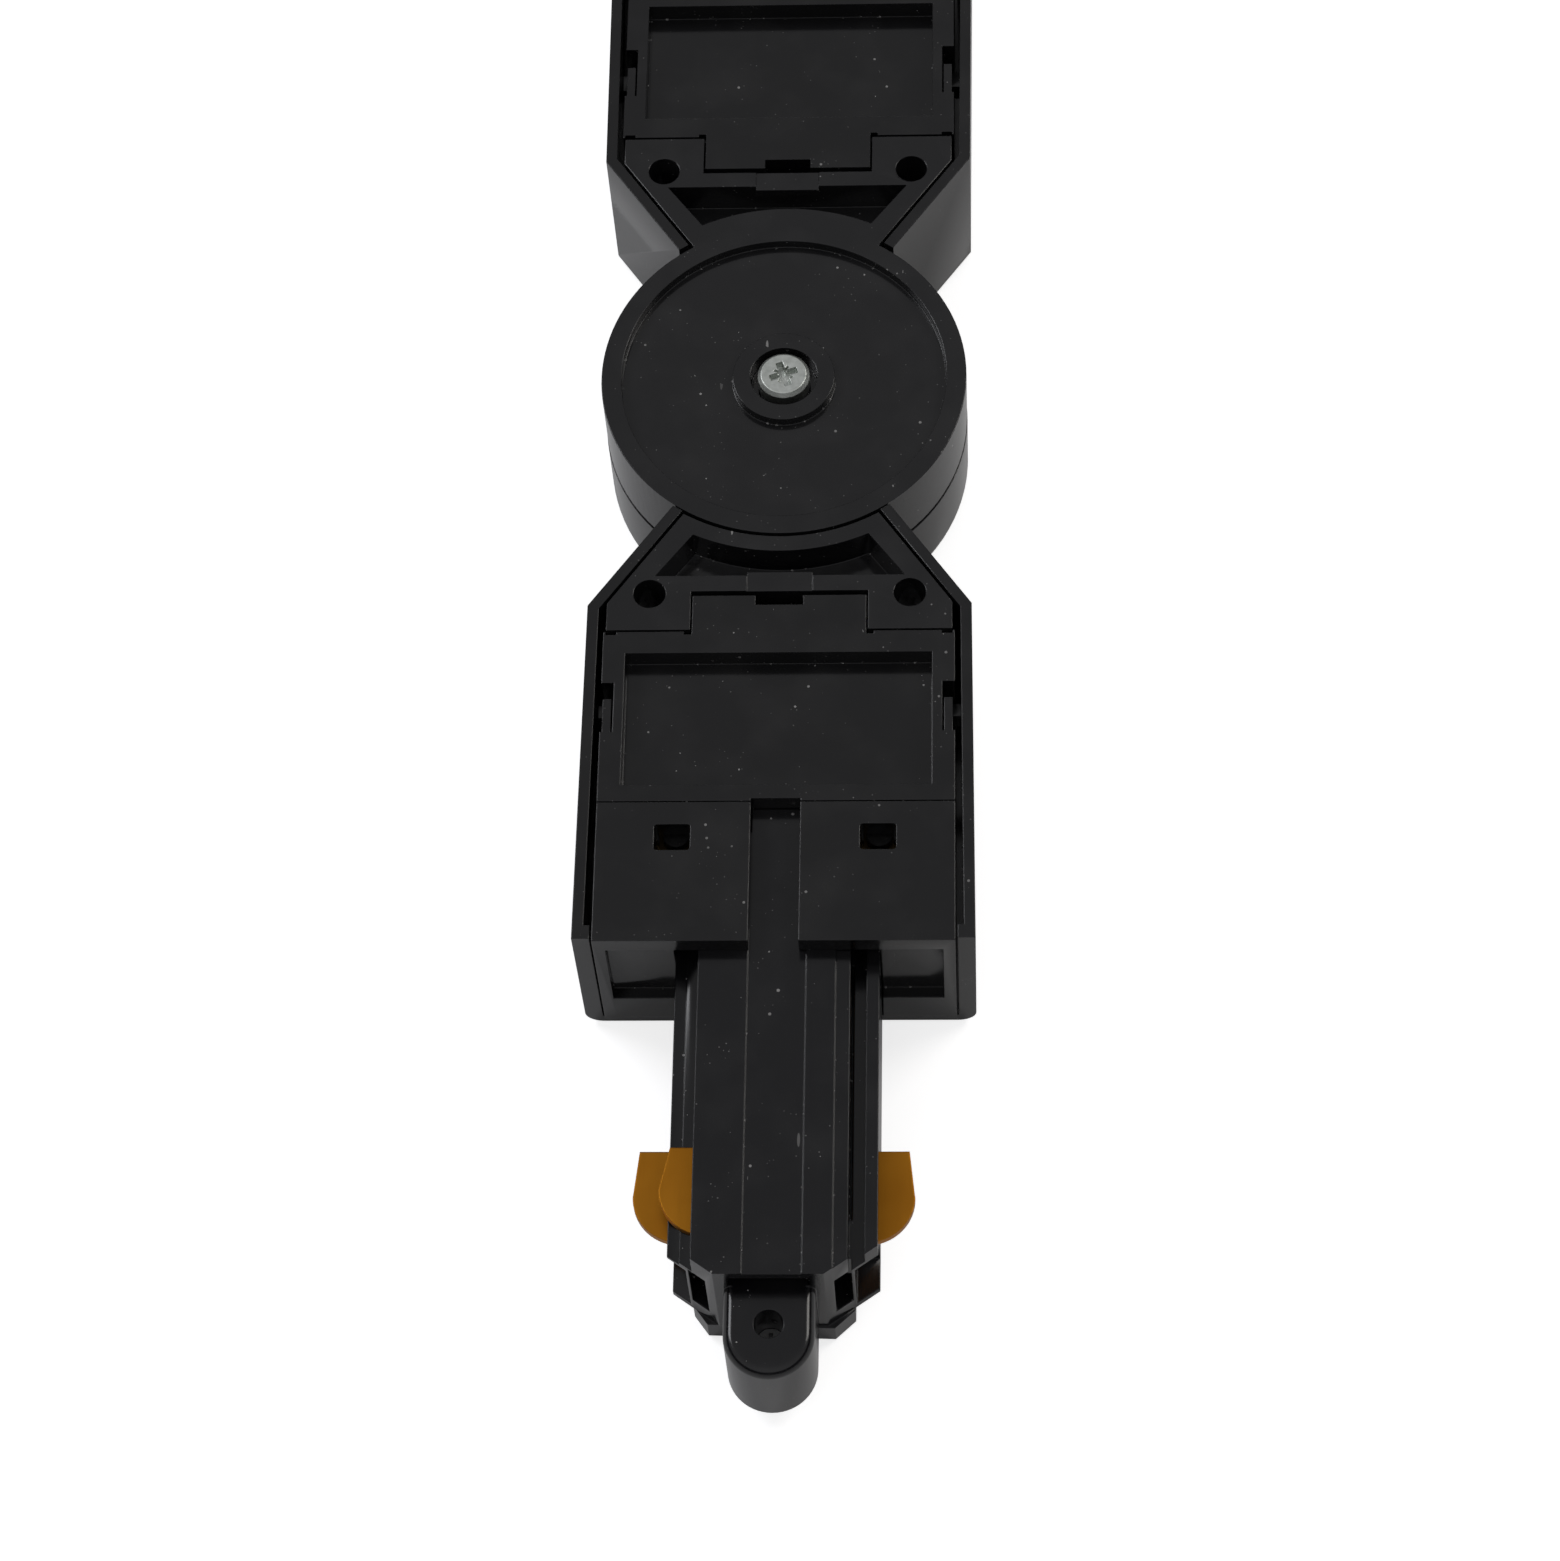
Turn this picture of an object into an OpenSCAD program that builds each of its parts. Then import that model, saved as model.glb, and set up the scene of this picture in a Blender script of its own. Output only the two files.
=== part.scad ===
// Flexible track connector: two like arms joined by a round hinge drum, each ending in a
// keyed plug with three contact blades. It lies on its room face, with the ceiling side up.
// The hinge axis is the Z axis, the near arm points to -Y and the far arm to +Y.

/* [Arms] */
// Width of an arm at its plug end
arm_w = 36; // [32:0.5:44]
// Height of an arm, room face to ceiling face
arm_h = 17.5; // [15.5:0.5:24]
// Hinge axis to the plug end of the cover
arm_end = 59.2; // [53:0.1:80]
// Distance of the shoulder, where the sloping sides begin, from the disc
shoulder_out = 7.65; // [6.5:0.05:9]
// How far each side has come in at the shoulder
shoulder_in = 0.24; // [0:0.02:2]
// Thickness of the cover's walls
wall = 1.05; // [0.8:0.05:1.6]
// Thickness of the cover's floor
floor_t = 1.1; // [0.8:0.05:2]
// Rounding of the long lower edges
edge_r = 1.7; // [0.5:0.1:3]
// Extra thickness of the wall at the plug end
lip_t = 0.55; // [0.2:0.05:0.7]
// Length of the thickened wall at the plug end
lip_l = 1.3; // [0.5:0.1:3]

/* [Hinge] */
// How far the upper disc lies in from the arms' sides
disc_in = 0.65; // [0.3:0.05:3]
// How far the drum stands out beyond the disc
drum_out = 0.05; // [0:0.01:0.15]
// Wall thickness of the drum and of the disc's skirt
drum_wall = 1.8; // [1.2:0.1:3]
// Rounding of the drum's lower edge
drum_edge_r = 2.4; // [0.5:0.1:4]
// Depth of the middle of the seam between drum and disc
seam_depth = 7.8; // [7:0.1:9]
// Open height of the seam
seam_gap = 0.3; // [0.1:0.05:0.6]
// Width of the raised ring round the disc
ring_w = 1.9; // [1:0.1:4]
// Depth of the disc's recessed floor under the ring
recess = 1; // [0.6:0.1:2]
// Thickness of the disc's floor
disc_floor = 1.5; // [1:0.1:3]
// Radius of the boss in the middle of the disc
boss_r = 4.85; // [4:0.05:4.9]
// Radius of the well for the pivot screw's head
well_r = 3.18; // [2.8:0.02:3.8]
// Depth of the shoulder that the pivot washer faces
well_d = 1.8; // [1.4:0.1:4]
// Radius of the pivot screw's shank
pivot_r = 1.5; // [1:0.1:2]
// Radial clearance of the disc on the pivot screw
pivot_fit = 0.06; // [0.01:0.01:0.1]
// Radius of the pivot screw's head
head_r = 2.5; // [2.4:0.1:2.8]
// Height of the head's top above the ceiling face
head_rise = 0.4; // [0:0.1:0.6]
// Height of the pivot screw's head
head_h = 1.7; // [1.4:0.1:2]
// Clearance under the pivot washer
washer_gap = 0.05; // [0.02:0.01:0.1]
// Radius of the pivot washer
washer_r = 2.4; // [2.2:0.05:2.7]
// Radius of the post under the disc
post_r = 4; // [3:0.1:4.8]
// Radius of the brass insert in the post
insert_r = 2.5; // [2.2:0.1:2.8]
// Height of the brass insert's foot
insert_low = 3.2; // [2.5:0.1:5]
// Clearance of the near cover's wall ends round the disc
near_wall_gap = 0.15; // [0.1:0.01:0.5]
// Clearance of the far cover's wall ends round the disc
far_wall_gap = 0.5; // [0.3:0.05:1]

/* [Hinge frames] */
// Clearance of the near frame's arc round the disc
arc_gap = 0.35; // [0.2:0.05:1]
// Distance of the window's curved edge from the disc
window_near = 1.9; // [1.2:0.05:2.5]
// Distance of the window's straight edge from the disc
window_far = 4.55; // [4:0.05:5.2]
// Distance of the window's ends from the arm's sides, at its curved edge
window_side1 = 9.9; // [8:0.1:12]
// Distance of the window's ends from the arm's sides, at its straight edge
window_side2 = 6.4; // [6:0.1:9]
// Depth of the window
window_d = 3.6; // [2:0.1:4.7]
// Thickness of the window's floor
window_floor = 1.8; // [0.8:0.1:1.9]
// Gap between the frame and the sloping walls
frame_gap = 0.3; // [0.3:0.05:1]
// Distance of the frame's straight edge from the disc
frame_l = 10.3; // [9:0.05:12]
// Distance of the frame's screws from the arm's sides
frame_screw_side = 5.95; // [5:0.05:6.4]
// Distance of the frame's screws from the disc
frame_screw_out = 6.45; // [5:0.05:7]
// Radius of the frame's screw wells
frame_well_r = 1.5; // [1.5:0.05:1.7]
// Radius of the posts round the screw wells
frame_post_r = 2; // [1.8:0.1:2.4]
// Length of the frame's posts, which stand on the cover's posts
frame_post_l = 3.1; // [2:0.1:4]
// Half width of the notch that takes the block's tongue
notch_x = 8.2; // [6:0.1:8.6]
// Distance of the notch's end from the disc
notch_out = 6.2; // [5.6:0.05:7]
// Half width of the tab over the window's straight edge
tab_x = 3.05; // [2:0.05:5]
// Reach of the tab over the window
tab_in = 0.4; // [0.2:0.05:1]
// How far the tab lies under the ceiling face
tab_drop = 0.1; // [0:0.05:0.5]

/* [Plug block] */
// Distance of the block's sides from the arm's sides
block_side = 1.8; // [1.7:0.1:3]
// How far the block's front stands out of the cover
block_out = 0.25; // [0:0.05:1]
// Gap between frame and block
block_gap = 0.2; // [0.05:0.05:0.5]
// Gap round the tongue
tongue_gap = 0.5; // [0.1:0.05:0.7]
// Clearance at the tongue's sides
tongue_fit = 0.16; // [0.02:0.01:0.3]
// Distance of the pocket's sides from the block's sides
pocket_side = 2.1; // [1.5:0.1:5]
// Distance of the pocket from the block's rear
pocket_in = 2.25; // [1.8:0.05:3]
// Length of the pocket
pocket_l = 13.7; // [8:0.1:14]
// Depth of the pocket
pocket_d = 2.1; // [1:0.1:4.2]
// Depth of the room for wires and terminals under the ceiling face
room_drop = 5.6; // [5.4:0.1:5.8]
// Thickness of the block's side walls
side_wall = 1.6; // [1.3:0.1:2]
// Thickness of the block's rear wall
rear_wall = 1.65; // [1:0.05:2.2]
// Thickness of the block's front wall
front_wall = 1.1; // [0.8:0.1:2]
// Half width of the slot over the plug
slot_x = 2.25; // [1:0.05:2.8]
// Distance of the slot from the block's rear
slot_in = 17.35; // [17:0.05:18]
// Distance of the parting line from the block's rear
parting_in = 17.65; // [16.5:0.05:19]
// Width of the parting line
parting_w = 0.12; // [0.05:0.01:0.3]
// Depth of the recess in the front face
panel_d = 1.1; // [0.5:0.1:2]
// Distance of the front recess from the block's sides
panel_side = 1.1; // [0.8:0.1:3]
// Lower edge of the recess in the front face
panel_z = 5.4; // [3:0.1:8]
// Height of the gap line over the cover's floor
front_line_h = 0.25; // [0.1:0.05:0.5]
// Depth of the gap line over the cover's floor
front_line_d = 0.6; // [0.2:0.1:1]
// Inner edge of the terminal openings
port_x = 7.65; // [7.5:0.05:8.5]
// Width of the terminal openings
port_w = 3.25; // [2.6:0.05:3.5]
// Distance of the terminal openings from the block's rear
port_in = 19.95; // [19.8:0.05:21]
// Length of the terminal openings
port_l = 2.6; // [2.5:0.1:3]
// Rounding of the terminal openings' corners
port_r = 0.3; // [0.1:0.05:0.6]
// Distance of the catch holes from the block's rear
catch_in = 5.35; // [3:0.05:8]
// Length of the catch holes
catch_l = 1.7; // [1:0.1:3]
// Distance of the far arm's catch holes from its block's rear
far_catch_in = 8.45; // [7:0.05:9]
// Length of the far arm's catch holes
far_catch_l = 2.2; // [1:0.1:3]
// Distance of the catch holes from the block's sides
catch_side = 1.15; // [0.9:0.05:1.2]
// Depth of the catch holes
catch_d = 8.5; // [5:0.1:10]
// Length of the spring tongues beside the catch holes
spring_l = 3.4; // [2:0.1:6]
// Width of the slit beside a spring tongue
spring_slit = 0.15; // [0.1:0.05:0.4]
// Depth to which a hook of the cover reaches below the ceiling face
hook_depth = 6; // [5:0.1:8]
// Height of the cover's hooks
hook_h = 2; // [1:0.1:4]
// Clearance of the cover's hooks
hook_gap = 0.2; // [0.1:0.05:0.4]

/* [Plugs] */
// Depth of the plug's top plate under the ceiling face
plug_drop = 1.95; // [1.6:0.05:3]
// Half width of the plug
plug_x = 9.2; // [9:0.1:12]
// How far the plug's middle lies to the right of the arm's
plug_shift = 0.2; // [0:0.05:0.3]
// Length of the plug in front of the block
plug_l = 30.85; // [24:0.05:50]
// Half width of the plug's flat front
nose_x = 4.8; // [4.5:0.1:8]
// Right edge of the sunk middle band
band_right = 2.9; // [2.3:0.05:3.2]
// Left edge of the sunk middle band
band_left = 2.3; // [2.25:0.05:3.2]
// Depth of the sunk middle band
band_d = 0.15; // [0.1:0.05:0.4]
// Right edge of the top plate
plate_x = 5.55; // [4.8:0.05:6]
// Drop of the ledge between the top plate and the key groove
ledge_d = 0.15; // [0.1:0.05:1.5]
// Width of the ledge between the top plate and the key groove
groove_in = 1.3; // [0.8:0.05:1.4]
// Width of the key groove
groove_w = 1.4; // [0.8:0.05:1.5]
// Left edge of the top plate
plate_left = 6.75; // [6:0.05:7.2]
// Width of the left step beside the top plate
left_step_w = 1.15; // [0.5:0.05:1.4]
// Depth of the left step under the top plate
left_step_d = 2.95; // [2:0.05:3.3]
// Depth of the left ledge under the top plate
left_ledge_d = 3.45; // [3.35:0.05:4]
// Depth of the right ledge under the top plate
right_ledge_d = 1.65; // [1:0.05:2.4]
// Depth of the key groove under the top plate
groove_d = 3.35; // [2.6:0.05:4]
// Height of the underside of the wide part
plug_low = 3; // [2:0.1:3.6]
// Half width of the lower rib
rib_x = 7.2; // [6.5:0.1:9]
// Height of the lower rib's underside
rib_low = 0.4; // [0.2:0.1:1.2]
// Distance of the lug's hole from the plug's front
lug_out = 3.45; // [3:0.05:8]
// Distance of the lug's centre from its hole
lug_shift = 0.75; // [0:0.05:1.2]
// Radius of the lug
lug_r = 4; // [3.8:0.05:4.6]
// Rounding of the lug's upper edge
lug_round = 0.95; // [0.4:0.05:1.5]
// Depth of the lug's top face under the plug's top plate
lug_drop = 2.95; // [1.5:0.05:5]
// Height of the lug's underside
lug_low = 3.3; // [0.6:0.1:3.4]
// Distance of the outer nose openings from the middle
outer_open_x = 7.35; // [7.2:0.05:8]
// Distance of the inner nose openings from the middle
inner_open_x = 5.6; // [5.5:0.05:6]
// Width of the inner nose openings
inner_open_w = 1.5; // [0.8:0.05:1.6]
// Height of the outer nose openings' sill over the wide part's underside
outer_open_low = 0.8; // [0.5:0.1:1.5]
// Height of the inner nose openings' sill over the wide part's underside
inner_open_low = 2.1; // [1:0.1:3]
// Height of the inner nose openings' top over the wide part's underside
inner_open_top = 5.8; // [4.5:0.1:6]
// Radius of the lug's screw hole
lug_hole_r = 1.3; // [1:0.01:2]
// Clearance of the lug's screw
lug_screw_fit = 0.04; // [0.02:0.01:0.1]

/* [Contacts] */
// Thickness of the contact blades
blade_t = 0.8; // [0.5:0.1:1]
// Depth of the upper blade's underside under the plug's top plate
blade_drop1 = 2.75; // [2.5:0.05:2.9]
// Depth of the lower blades' underside under the plug's top plate
blade_drop2 = 5.35; // [5:0.05:6]
// Reach of the upper blade from the middle
upper_reach = 9.8; // [9:0.05:12]
// Reach of the left blade from the middle
left_reach = 12.25; // [10:0.05:14]
// Reach of the right blade from the middle
right_reach = 12.6; // [10:0.05:14]
// Distance of the upper blade's rear edge from the plug's front
blade_back1 = 12.6; // [10:0.1:16]
// Distance of the lower blades' rear edges from the plug's front
blade_back2 = 13.3; // [10:0.1:18]
// Length of the upper blade's straight part
blade_straight1 = 3.95; // [2:0.05:5]
// Length of the lower blades' straight part
blade_straight2 = 4.3; // [2:0.05:5]
// Radius of the blades' front arc
blade_r = 4.3; // [3:0.1:4.6]
// Clearance of the contacts in their channels
contact_gap = 0.06; // [0.02:0.01:0.1]
// Distance of the upper contact's tail from the middle
upper_tail_x = 5.4; // [5.2:0.05:5.5]
// Distance of the lower contacts' tails from the middle
lower_tail_x = 7.1; // [7.05:0.05:7.4]
// Width of the contacts' tails
tail_w = 1.2; // [0.8:0.1:1.3]
// Distance of the upper contact's step from the plug's front
step_back = 16.3; // [14:0.1:20]

/* [Wires] */
// Radius of an insulated wire
wire_r = 1; // [0.6:0.05:1]
// Depth of the wires in the arms under the drum's top
wire_drop = 3.55; // [3.3:0.05:4]
// Clearance of the wires over the drum
wire_rise_gap = 0.05; // [0.02:0.01:0.15]
// Distance of the foot of the wires' climb from the near edge of the disc
climb_in = 5.35; // [5.2:0.05:7]
// Distance of the top of the wires' climb from the far edge of the disc
climb_out = 7.35; // [5.2:0.05:8]
// Distance of the live and neutral wires from the middle
side_wire_x = 8.3; // [8.2:0.05:8.6]
// Distance of the earth wire from the middle
earth_wire_x = 6; // [5.95:0.05:6.1]
// Room round a wire where it passes a wall
wire_room = 1.2; // [0.5:0.1:1.4]

/* [Terminals] */
// Length of the side terminals
terminal_l = 3.4; // [3:0.1:5]
// Depth of the terminals' underside under the wires
terminal_foot = 2; // [1.4:0.1:2.3]
// Clearance of the terminals under the block
terminal_gap = 0.1; // [0.05:0.05:0.3]
// Half width of the middle terminal
middle_terminal_x = 2; // [1.6:0.1:4]
// Length of the middle terminal
middle_terminal_l = 4.7; // [4:0.1:6]
// Radius of the terminal screws' shanks
terminal_screw_r = 0.75; // [0.5:0.05:0.8]
// Radius of the terminal screws' heads
terminal_head_r = 1.15; // [0.9:0.05:1.2]
// Height of the terminal screws' heads
terminal_head_h = 0.8; // [0.5:0.05:0.85]

/* [Hidden] */
$fn = 96;
// Outline of the arms
disc_r = arm_w / 2 - disc_in;
shoulder_y = disc_r + shoulder_out;
shoulder_x = arm_w / 2 - shoulder_in;
slope_a = atan2(shoulder_y, shoulder_x);
wall_x = arm_w / 2 - wall;
// Hinge
drum_r = disc_r + drum_out;
seam_z = arm_h - seam_depth;
drum_top = seam_z - seam_gap / 2;
disc_low = seam_z + seam_gap / 2;
ring_r = disc_r - ring_w;
disc_mid = arm_h - recess;
disc_under = disc_mid - disc_floor;
well_z = arm_h - well_d;
washer_z = well_z + washer_gap;
head_top = arm_h + head_rise;
head_low = head_top - head_h;
head_edge = 0.4;
screw_low = insert_low + 0.8;
insert_fit = 0.02;
insert_top = drum_top - 0.1;
// Hinge frames
frame_t = window_d + window_floor;
frame_low = arm_h - frame_t;
frame_y = disc_r + frame_l;
notch_y = disc_r + notch_out;
window_r = disc_r + window_near;
window_y = disc_r + window_far;
window_x1 = arm_w / 2 - window_side1;
window_x2 = arm_w / 2 - window_side2;
frame_screw_x = arm_w / 2 - frame_screw_side;
frame_screw_y = disc_r + frame_screw_out;
frame_post_z = frame_low - frame_post_l;
frame_shelf = 0.6;
screw_bore_r = 0.92;
screw_bore_z = 3;
// Plug block
block_x = arm_w / 2 - block_side;
block_rear = frame_y + block_gap;
block_front = arm_end + block_out;
block_low = floor_t;
tongue_y = notch_y + tongue_gap;
tongue_x = notch_x - tongue_fit;
tongue_slot_x = 2.2;
tongue_slot_l = 1;
pocket_x = block_x - pocket_side;
pocket_y = block_rear + pocket_in;
cavity_x = block_x - side_wall;
cavity_y = block_rear + rear_wall;
cavity_z = arm_h - room_drop;
panel_y = block_front - panel_d;
cavity_end = panel_y - front_wall;
panel_x = block_x - panel_side;
slot_y = block_rear + slot_in;
port_y = block_rear + port_in;
catch_x = block_x - catch_side;
// Where the catch holes and the spring tongues beside them begin and end
near_catch = [block_rear + catch_in, block_rear + catch_in + catch_l];
near_spring = [near_catch[1] - 0.1, near_catch[1] + spring_l];
far_catch = [block_rear + far_catch_in, block_rear + far_catch_in + far_catch_l];
far_spring = [far_catch[0] - spring_l, far_catch[0] + 0.1];
spring_inset = 0.2;
corner_mark = 0.3;
// Plugs
plug_top = arm_h - plug_drop;
plug_front = block_front + plug_l;
plug_slope = tan(90 - slope_a);
inner_plug_x = 6.9;
inner_plug_y = slot_y + 2.4;
band_rear = slot_y + 0.05;
band_side = slot_x - 0.05;
band_t = 1.5;
plug_foot = floor_t + 0.2;
groove_x = plate_x + groove_in;
left_step_x = plate_left + left_step_w;
step_top = plug_top - right_ledge_d;
groove_z = plug_top - groove_d;
left_step_z = plug_top - left_step_d;
left_ledge_z = plug_top - left_ledge_d;
plug_right = plug_x + plug_shift;
plug_left = plug_x - plug_shift;
lug_y = plug_front + lug_out;
lug_top = plug_top - lug_drop;
lug_screw_l = 4.5;
// Contacts
blade_z1 = plug_top - blade_drop1;
blade_z2 = plug_top - blade_drop2;
blade_y1 = plug_front - blade_back1;
blade_y2 = plug_front - blade_back2;
step_y = plug_front - step_back;
blade_end1 = blade_y1 + blade_straight1 + blade_r;
blade_end2 = blade_y2 + blade_straight2 + blade_r;
channel_room = 0.25;
tail_end = blade_y2 + blade_straight2 + blade_r / 2;
// Heights of the wires
wire_z1 = drum_top - wire_drop;
wire_z2 = disc_low + wire_r + wire_rise_gap;
// Terminals
terminal_low = wire_z1 - terminal_foot;
terminal_x = port_x + port_w / 2;
terminal_y = port_y + port_l / 2;
terminal_rear = terminal_y - terminal_l / 2;
terminal_z = cavity_z - terminal_gap;
middle_screw_y = slot_y + 0.9;
middle_terminal_end = inner_plug_y - 0.12;
middle_terminal_rear = middle_terminal_end - middle_terminal_l;
// Routes of the wires
wire_grip = 1;
wire_fit = 0.05;
wire_swell = 0.03;
wire_link = 0.2;
bend_gap_a = 0.6;
wire_y1 = climb_in - disc_r;
wire_y2 = disc_r - climb_out;
wire_y3 = disc_r + 1.15;
wire_y4 = cavity_y + 0.5;
earth_shift_y1 = cavity_y + 1;
earth_shift_l = 11;
earth_shift_y2 = earth_shift_y1 + earth_shift_l;
side_wire_end = terminal_rear + wire_grip;
// Length that passes beyond everything
far = 200;
black = [0.1, 0.1, 0.11];
dark = [0.16, 0.16, 0.17];
copper = [0.85, 0.5, 0.25];
steel = [0.75, 0.76, 0.78];
brass = [0.83, 0.68, 0.35];

// A box given by its two corners
module box(a, b) {
    translate(a) cube([b[0] - a[0], b[1] - a[1], b[2] - a[2]]);
}

// An upright box with rounded corners
module round_box(a, b, r) {
    translate([0, 0, a[2]]) linear_extrude(b[2] - a[2]) {
        translate([a[0] + r, a[1]]) square([b[0] - a[0] - 2 * r, b[1] - a[1]]);
        translate([a[0], a[1] + r]) square([b[0] - a[0], b[1] - a[1] - 2 * r]);
        for (x = [a[0] + r, b[0] - r], y = [a[1] + r, b[1] - r]) translate([x, y]) circle(r);
    }
}

// The same shape on both sides of the arm's middle line
module both() {
    children();
    mirror([1, 0, 0]) children();
}

// Turns an arm shape, drawn along +Y, into the near arm
module near() {
    mirror([0, 1, 0]) children();
}

// Plan of an arm from the hinge axis, drawn in by a margin on its sides and slopes
module arm_plan(side, slope, end) {
    x1 = shoulder_x - side;
    y1 = (slope + sin(slope_a) * x1) / cos(slope_a);
    polygon([[0, slope / cos(slope_a)], [x1, y1], [arm_w / 2 - side, end],
        [-arm_w / 2 + side, end], [-x1, y1]]);
}

// A half space whose lower edge is rounded, to trim a lower edge of an arm
module edge_trim() {
    rotate([90, 0, 90]) translate([0, 0, -far]) linear_extrude(2 * far) {
        translate([edge_r, 0]) square([far, arm_h]);
        translate([0, edge_r]) square([far, arm_h - edge_r]);
        translate([edge_r, edge_r]) circle(edge_r);
    }
}

module arm_outer() {
    intersection() {
        linear_extrude(arm_h) arm_plan(0, 0, arm_end);
        rotate([0, 0, slope_a]) edge_trim();
        mirror([1, 0, 0]) rotate([0, 0, slope_a]) edge_trim();
        translate([arm_w / 2, 0, 0]) rotate([0, 0, 90]) edge_trim();
        mirror([1, 0, 0]) translate([arm_w / 2, 0, 0]) rotate([0, 0, 90]) edge_trim();
    }
}

// The open tub of a cover, with its hooks and the posts for the frame's screws
module arm_tub(catch) {
    difference() {
        arm_outer();
        translate([0, 0, floor_t]) linear_extrude(arm_h) arm_plan(wall, wall, arm_end - lip_l);
        box([-wall_x + lip_t, arm_end - lip_l - 1, floor_t],
            [wall_x - lip_t, arm_end + 1, arm_h + 1]);
    }
    both() {
        box([catch_x + hook_gap, catch[0] + hook_gap, arm_h - hook_depth],
            [wall_x + wall / 4, catch[1] - hook_gap, arm_h - hook_depth + hook_h]);
        translate([frame_screw_x, frame_screw_y, floor_t - 0.1])
            cylinder(r = frame_post_r, h = frame_post_z - floor_t + 0.1);
    }
}

module frame_screw_bores() {
    both() translate([frame_screw_x, frame_screw_y, screw_bore_z])
        cylinder(r = screw_bore_r, h = arm_h);
}

// Openings in the drum's or the disc's wall for the three wires
module wire_ports(z1, z2) {
    room = wire_r + wire_room - 0.7;
    box([-side_wire_x - room, disc_r / 2, z1], [-earth_wire_x + room, far, z2]);
    box([side_wire_x - room, disc_r / 2, z1], [side_wire_x + room, far, z2]);
}

module near_cover() {
    color(black) near() difference() {
        union() {
            difference() {
                arm_tub(near_catch);
                translate([0, 0, drum_top]) cylinder(r = disc_r + near_wall_gap, h = arm_h);
            }
            rotate_extrude() {
                square([drum_r - drum_edge_r, drum_top]);
                translate([0, drum_edge_r]) square([drum_r, drum_top - drum_edge_r]);
                translate([drum_r - drum_edge_r, drum_edge_r]) circle(drum_edge_r);
            }
        }
        difference() {
            translate([0, 0, floor_t + 0.1]) cylinder(r = drum_r - drum_wall, h = arm_h);
            cylinder(r = post_r, h = arm_h);
        }
        translate([0, 0, drum_top]) cylinder(r = disc_r, h = arm_h);
        translate([0, 0, insert_low]) cylinder(r = insert_r + insert_fit, h = arm_h);
        translate([0, 0, floor_t + 0.9]) cylinder(r = pivot_r + 0.1, h = arm_h);
        intersection() {
            wire_ports(wire_z1 - wire_r - wire_room, wire_z1 + wire_r + wire_room);
            cylinder(r = disc_r + 2 * drum_wall, h = arm_h);
        }
        frame_screw_bores();
    }
}

module far_cover() {
    color(black) difference() {
        arm_tub(far_catch);
        translate([0, 0, -1]) cylinder(r = disc_r + far_wall_gap, h = arm_h + 2);
        frame_screw_bores();
    }
}

// Plan of a hinge frame, with the notch for the tongue
module frame_plan() {
    difference() {
        intersection() {
            arm_plan(block_side, wall + frame_gap, arm_end);
            translate([-arm_w / 2, disc_r / 4]) square([arm_w, frame_y - disc_r / 4]);
        }
        translate([-notch_x, notch_y]) square([2 * notch_x, arm_h]);
    }
}

// Plan of the window, a pocket with a curved edge towards the disc
module window_plan() {
    difference() {
        polygon([[-window_x2, window_y], [window_x2, window_y],
            [window_x1, window_r * 0.9], [0, disc_r * 0.9], [-window_x1, window_r * 0.9]]);
        circle(window_r);
    }
}

module frame_plate() {
    difference() {
        union() {
            translate([0, 0, frame_low]) linear_extrude(frame_t) frame_plan();
            both() translate([frame_screw_x, frame_screw_y, frame_post_z])
                cylinder(r = frame_post_r, h = frame_post_l + 0.1);
        }
        difference() {
            translate([0, 0, frame_low + window_floor]) linear_extrude(arm_h) window_plan();
            box([-tab_x, window_y - tab_in, arm_h - 1], [tab_x, notch_y, arm_h + 1]);
        }
        box([-tab_x, window_y - 1, arm_h - tab_drop], [tab_x, notch_y + 1, arm_h + 1]);
    }
}

module frame_wells() {
    both() translate([frame_screw_x, frame_screw_y, frame_post_z + frame_shelf])
        cylinder(r = frame_well_r, h = arm_h);
}

module near_frame() {
    color(dark) near() difference() {
        frame_plate();
        translate([0, 0, -1]) cylinder(r = disc_r + arc_gap, h = arm_h + 2);
        frame_wells();
        frame_screw_bores();
    }
}

module far_frame_disc() {
    color(dark) difference() {
        union() {
            difference() {
                frame_plate();
                cylinder(r = ring_r, h = arm_h + 1);
            }
            difference() {
                translate([0, 0, disc_low]) cylinder(r = disc_r, h = arm_h - disc_low);
                translate([0, 0, disc_mid]) cylinder(r = ring_r, h = arm_h);
                translate([0, 0, -1]) cylinder(r = disc_r - drum_wall, h = disc_under + 1);
            }
            translate([0, 0, disc_low]) cylinder(r = boss_r, h = arm_h - disc_low);
        }
        translate([0, 0, well_z]) cylinder(r = well_r, h = arm_h);
        cylinder(r = pivot_r + pivot_fit, h = arm_h);
        wire_ports(disc_low - 1, wire_z2 + wire_r + 0.15);
        frame_wells();
        frame_screw_bores();
    }
}

// Catch hole for a hook of the cover and the spring tongue beside it
module catch_cut(catch, spring) {
    low = arm_h - catch_d;
    box([catch_x, catch[0], low], [block_x + 1, catch[1], arm_h + 1]);
    box([catch_x, spring[0], low], [catch_x + spring_slit, spring[1], arm_h + 1]);
    box([block_x - spring_inset, spring[0], low], [block_x + 1, spring[1], arm_h + 1]);
}

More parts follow.
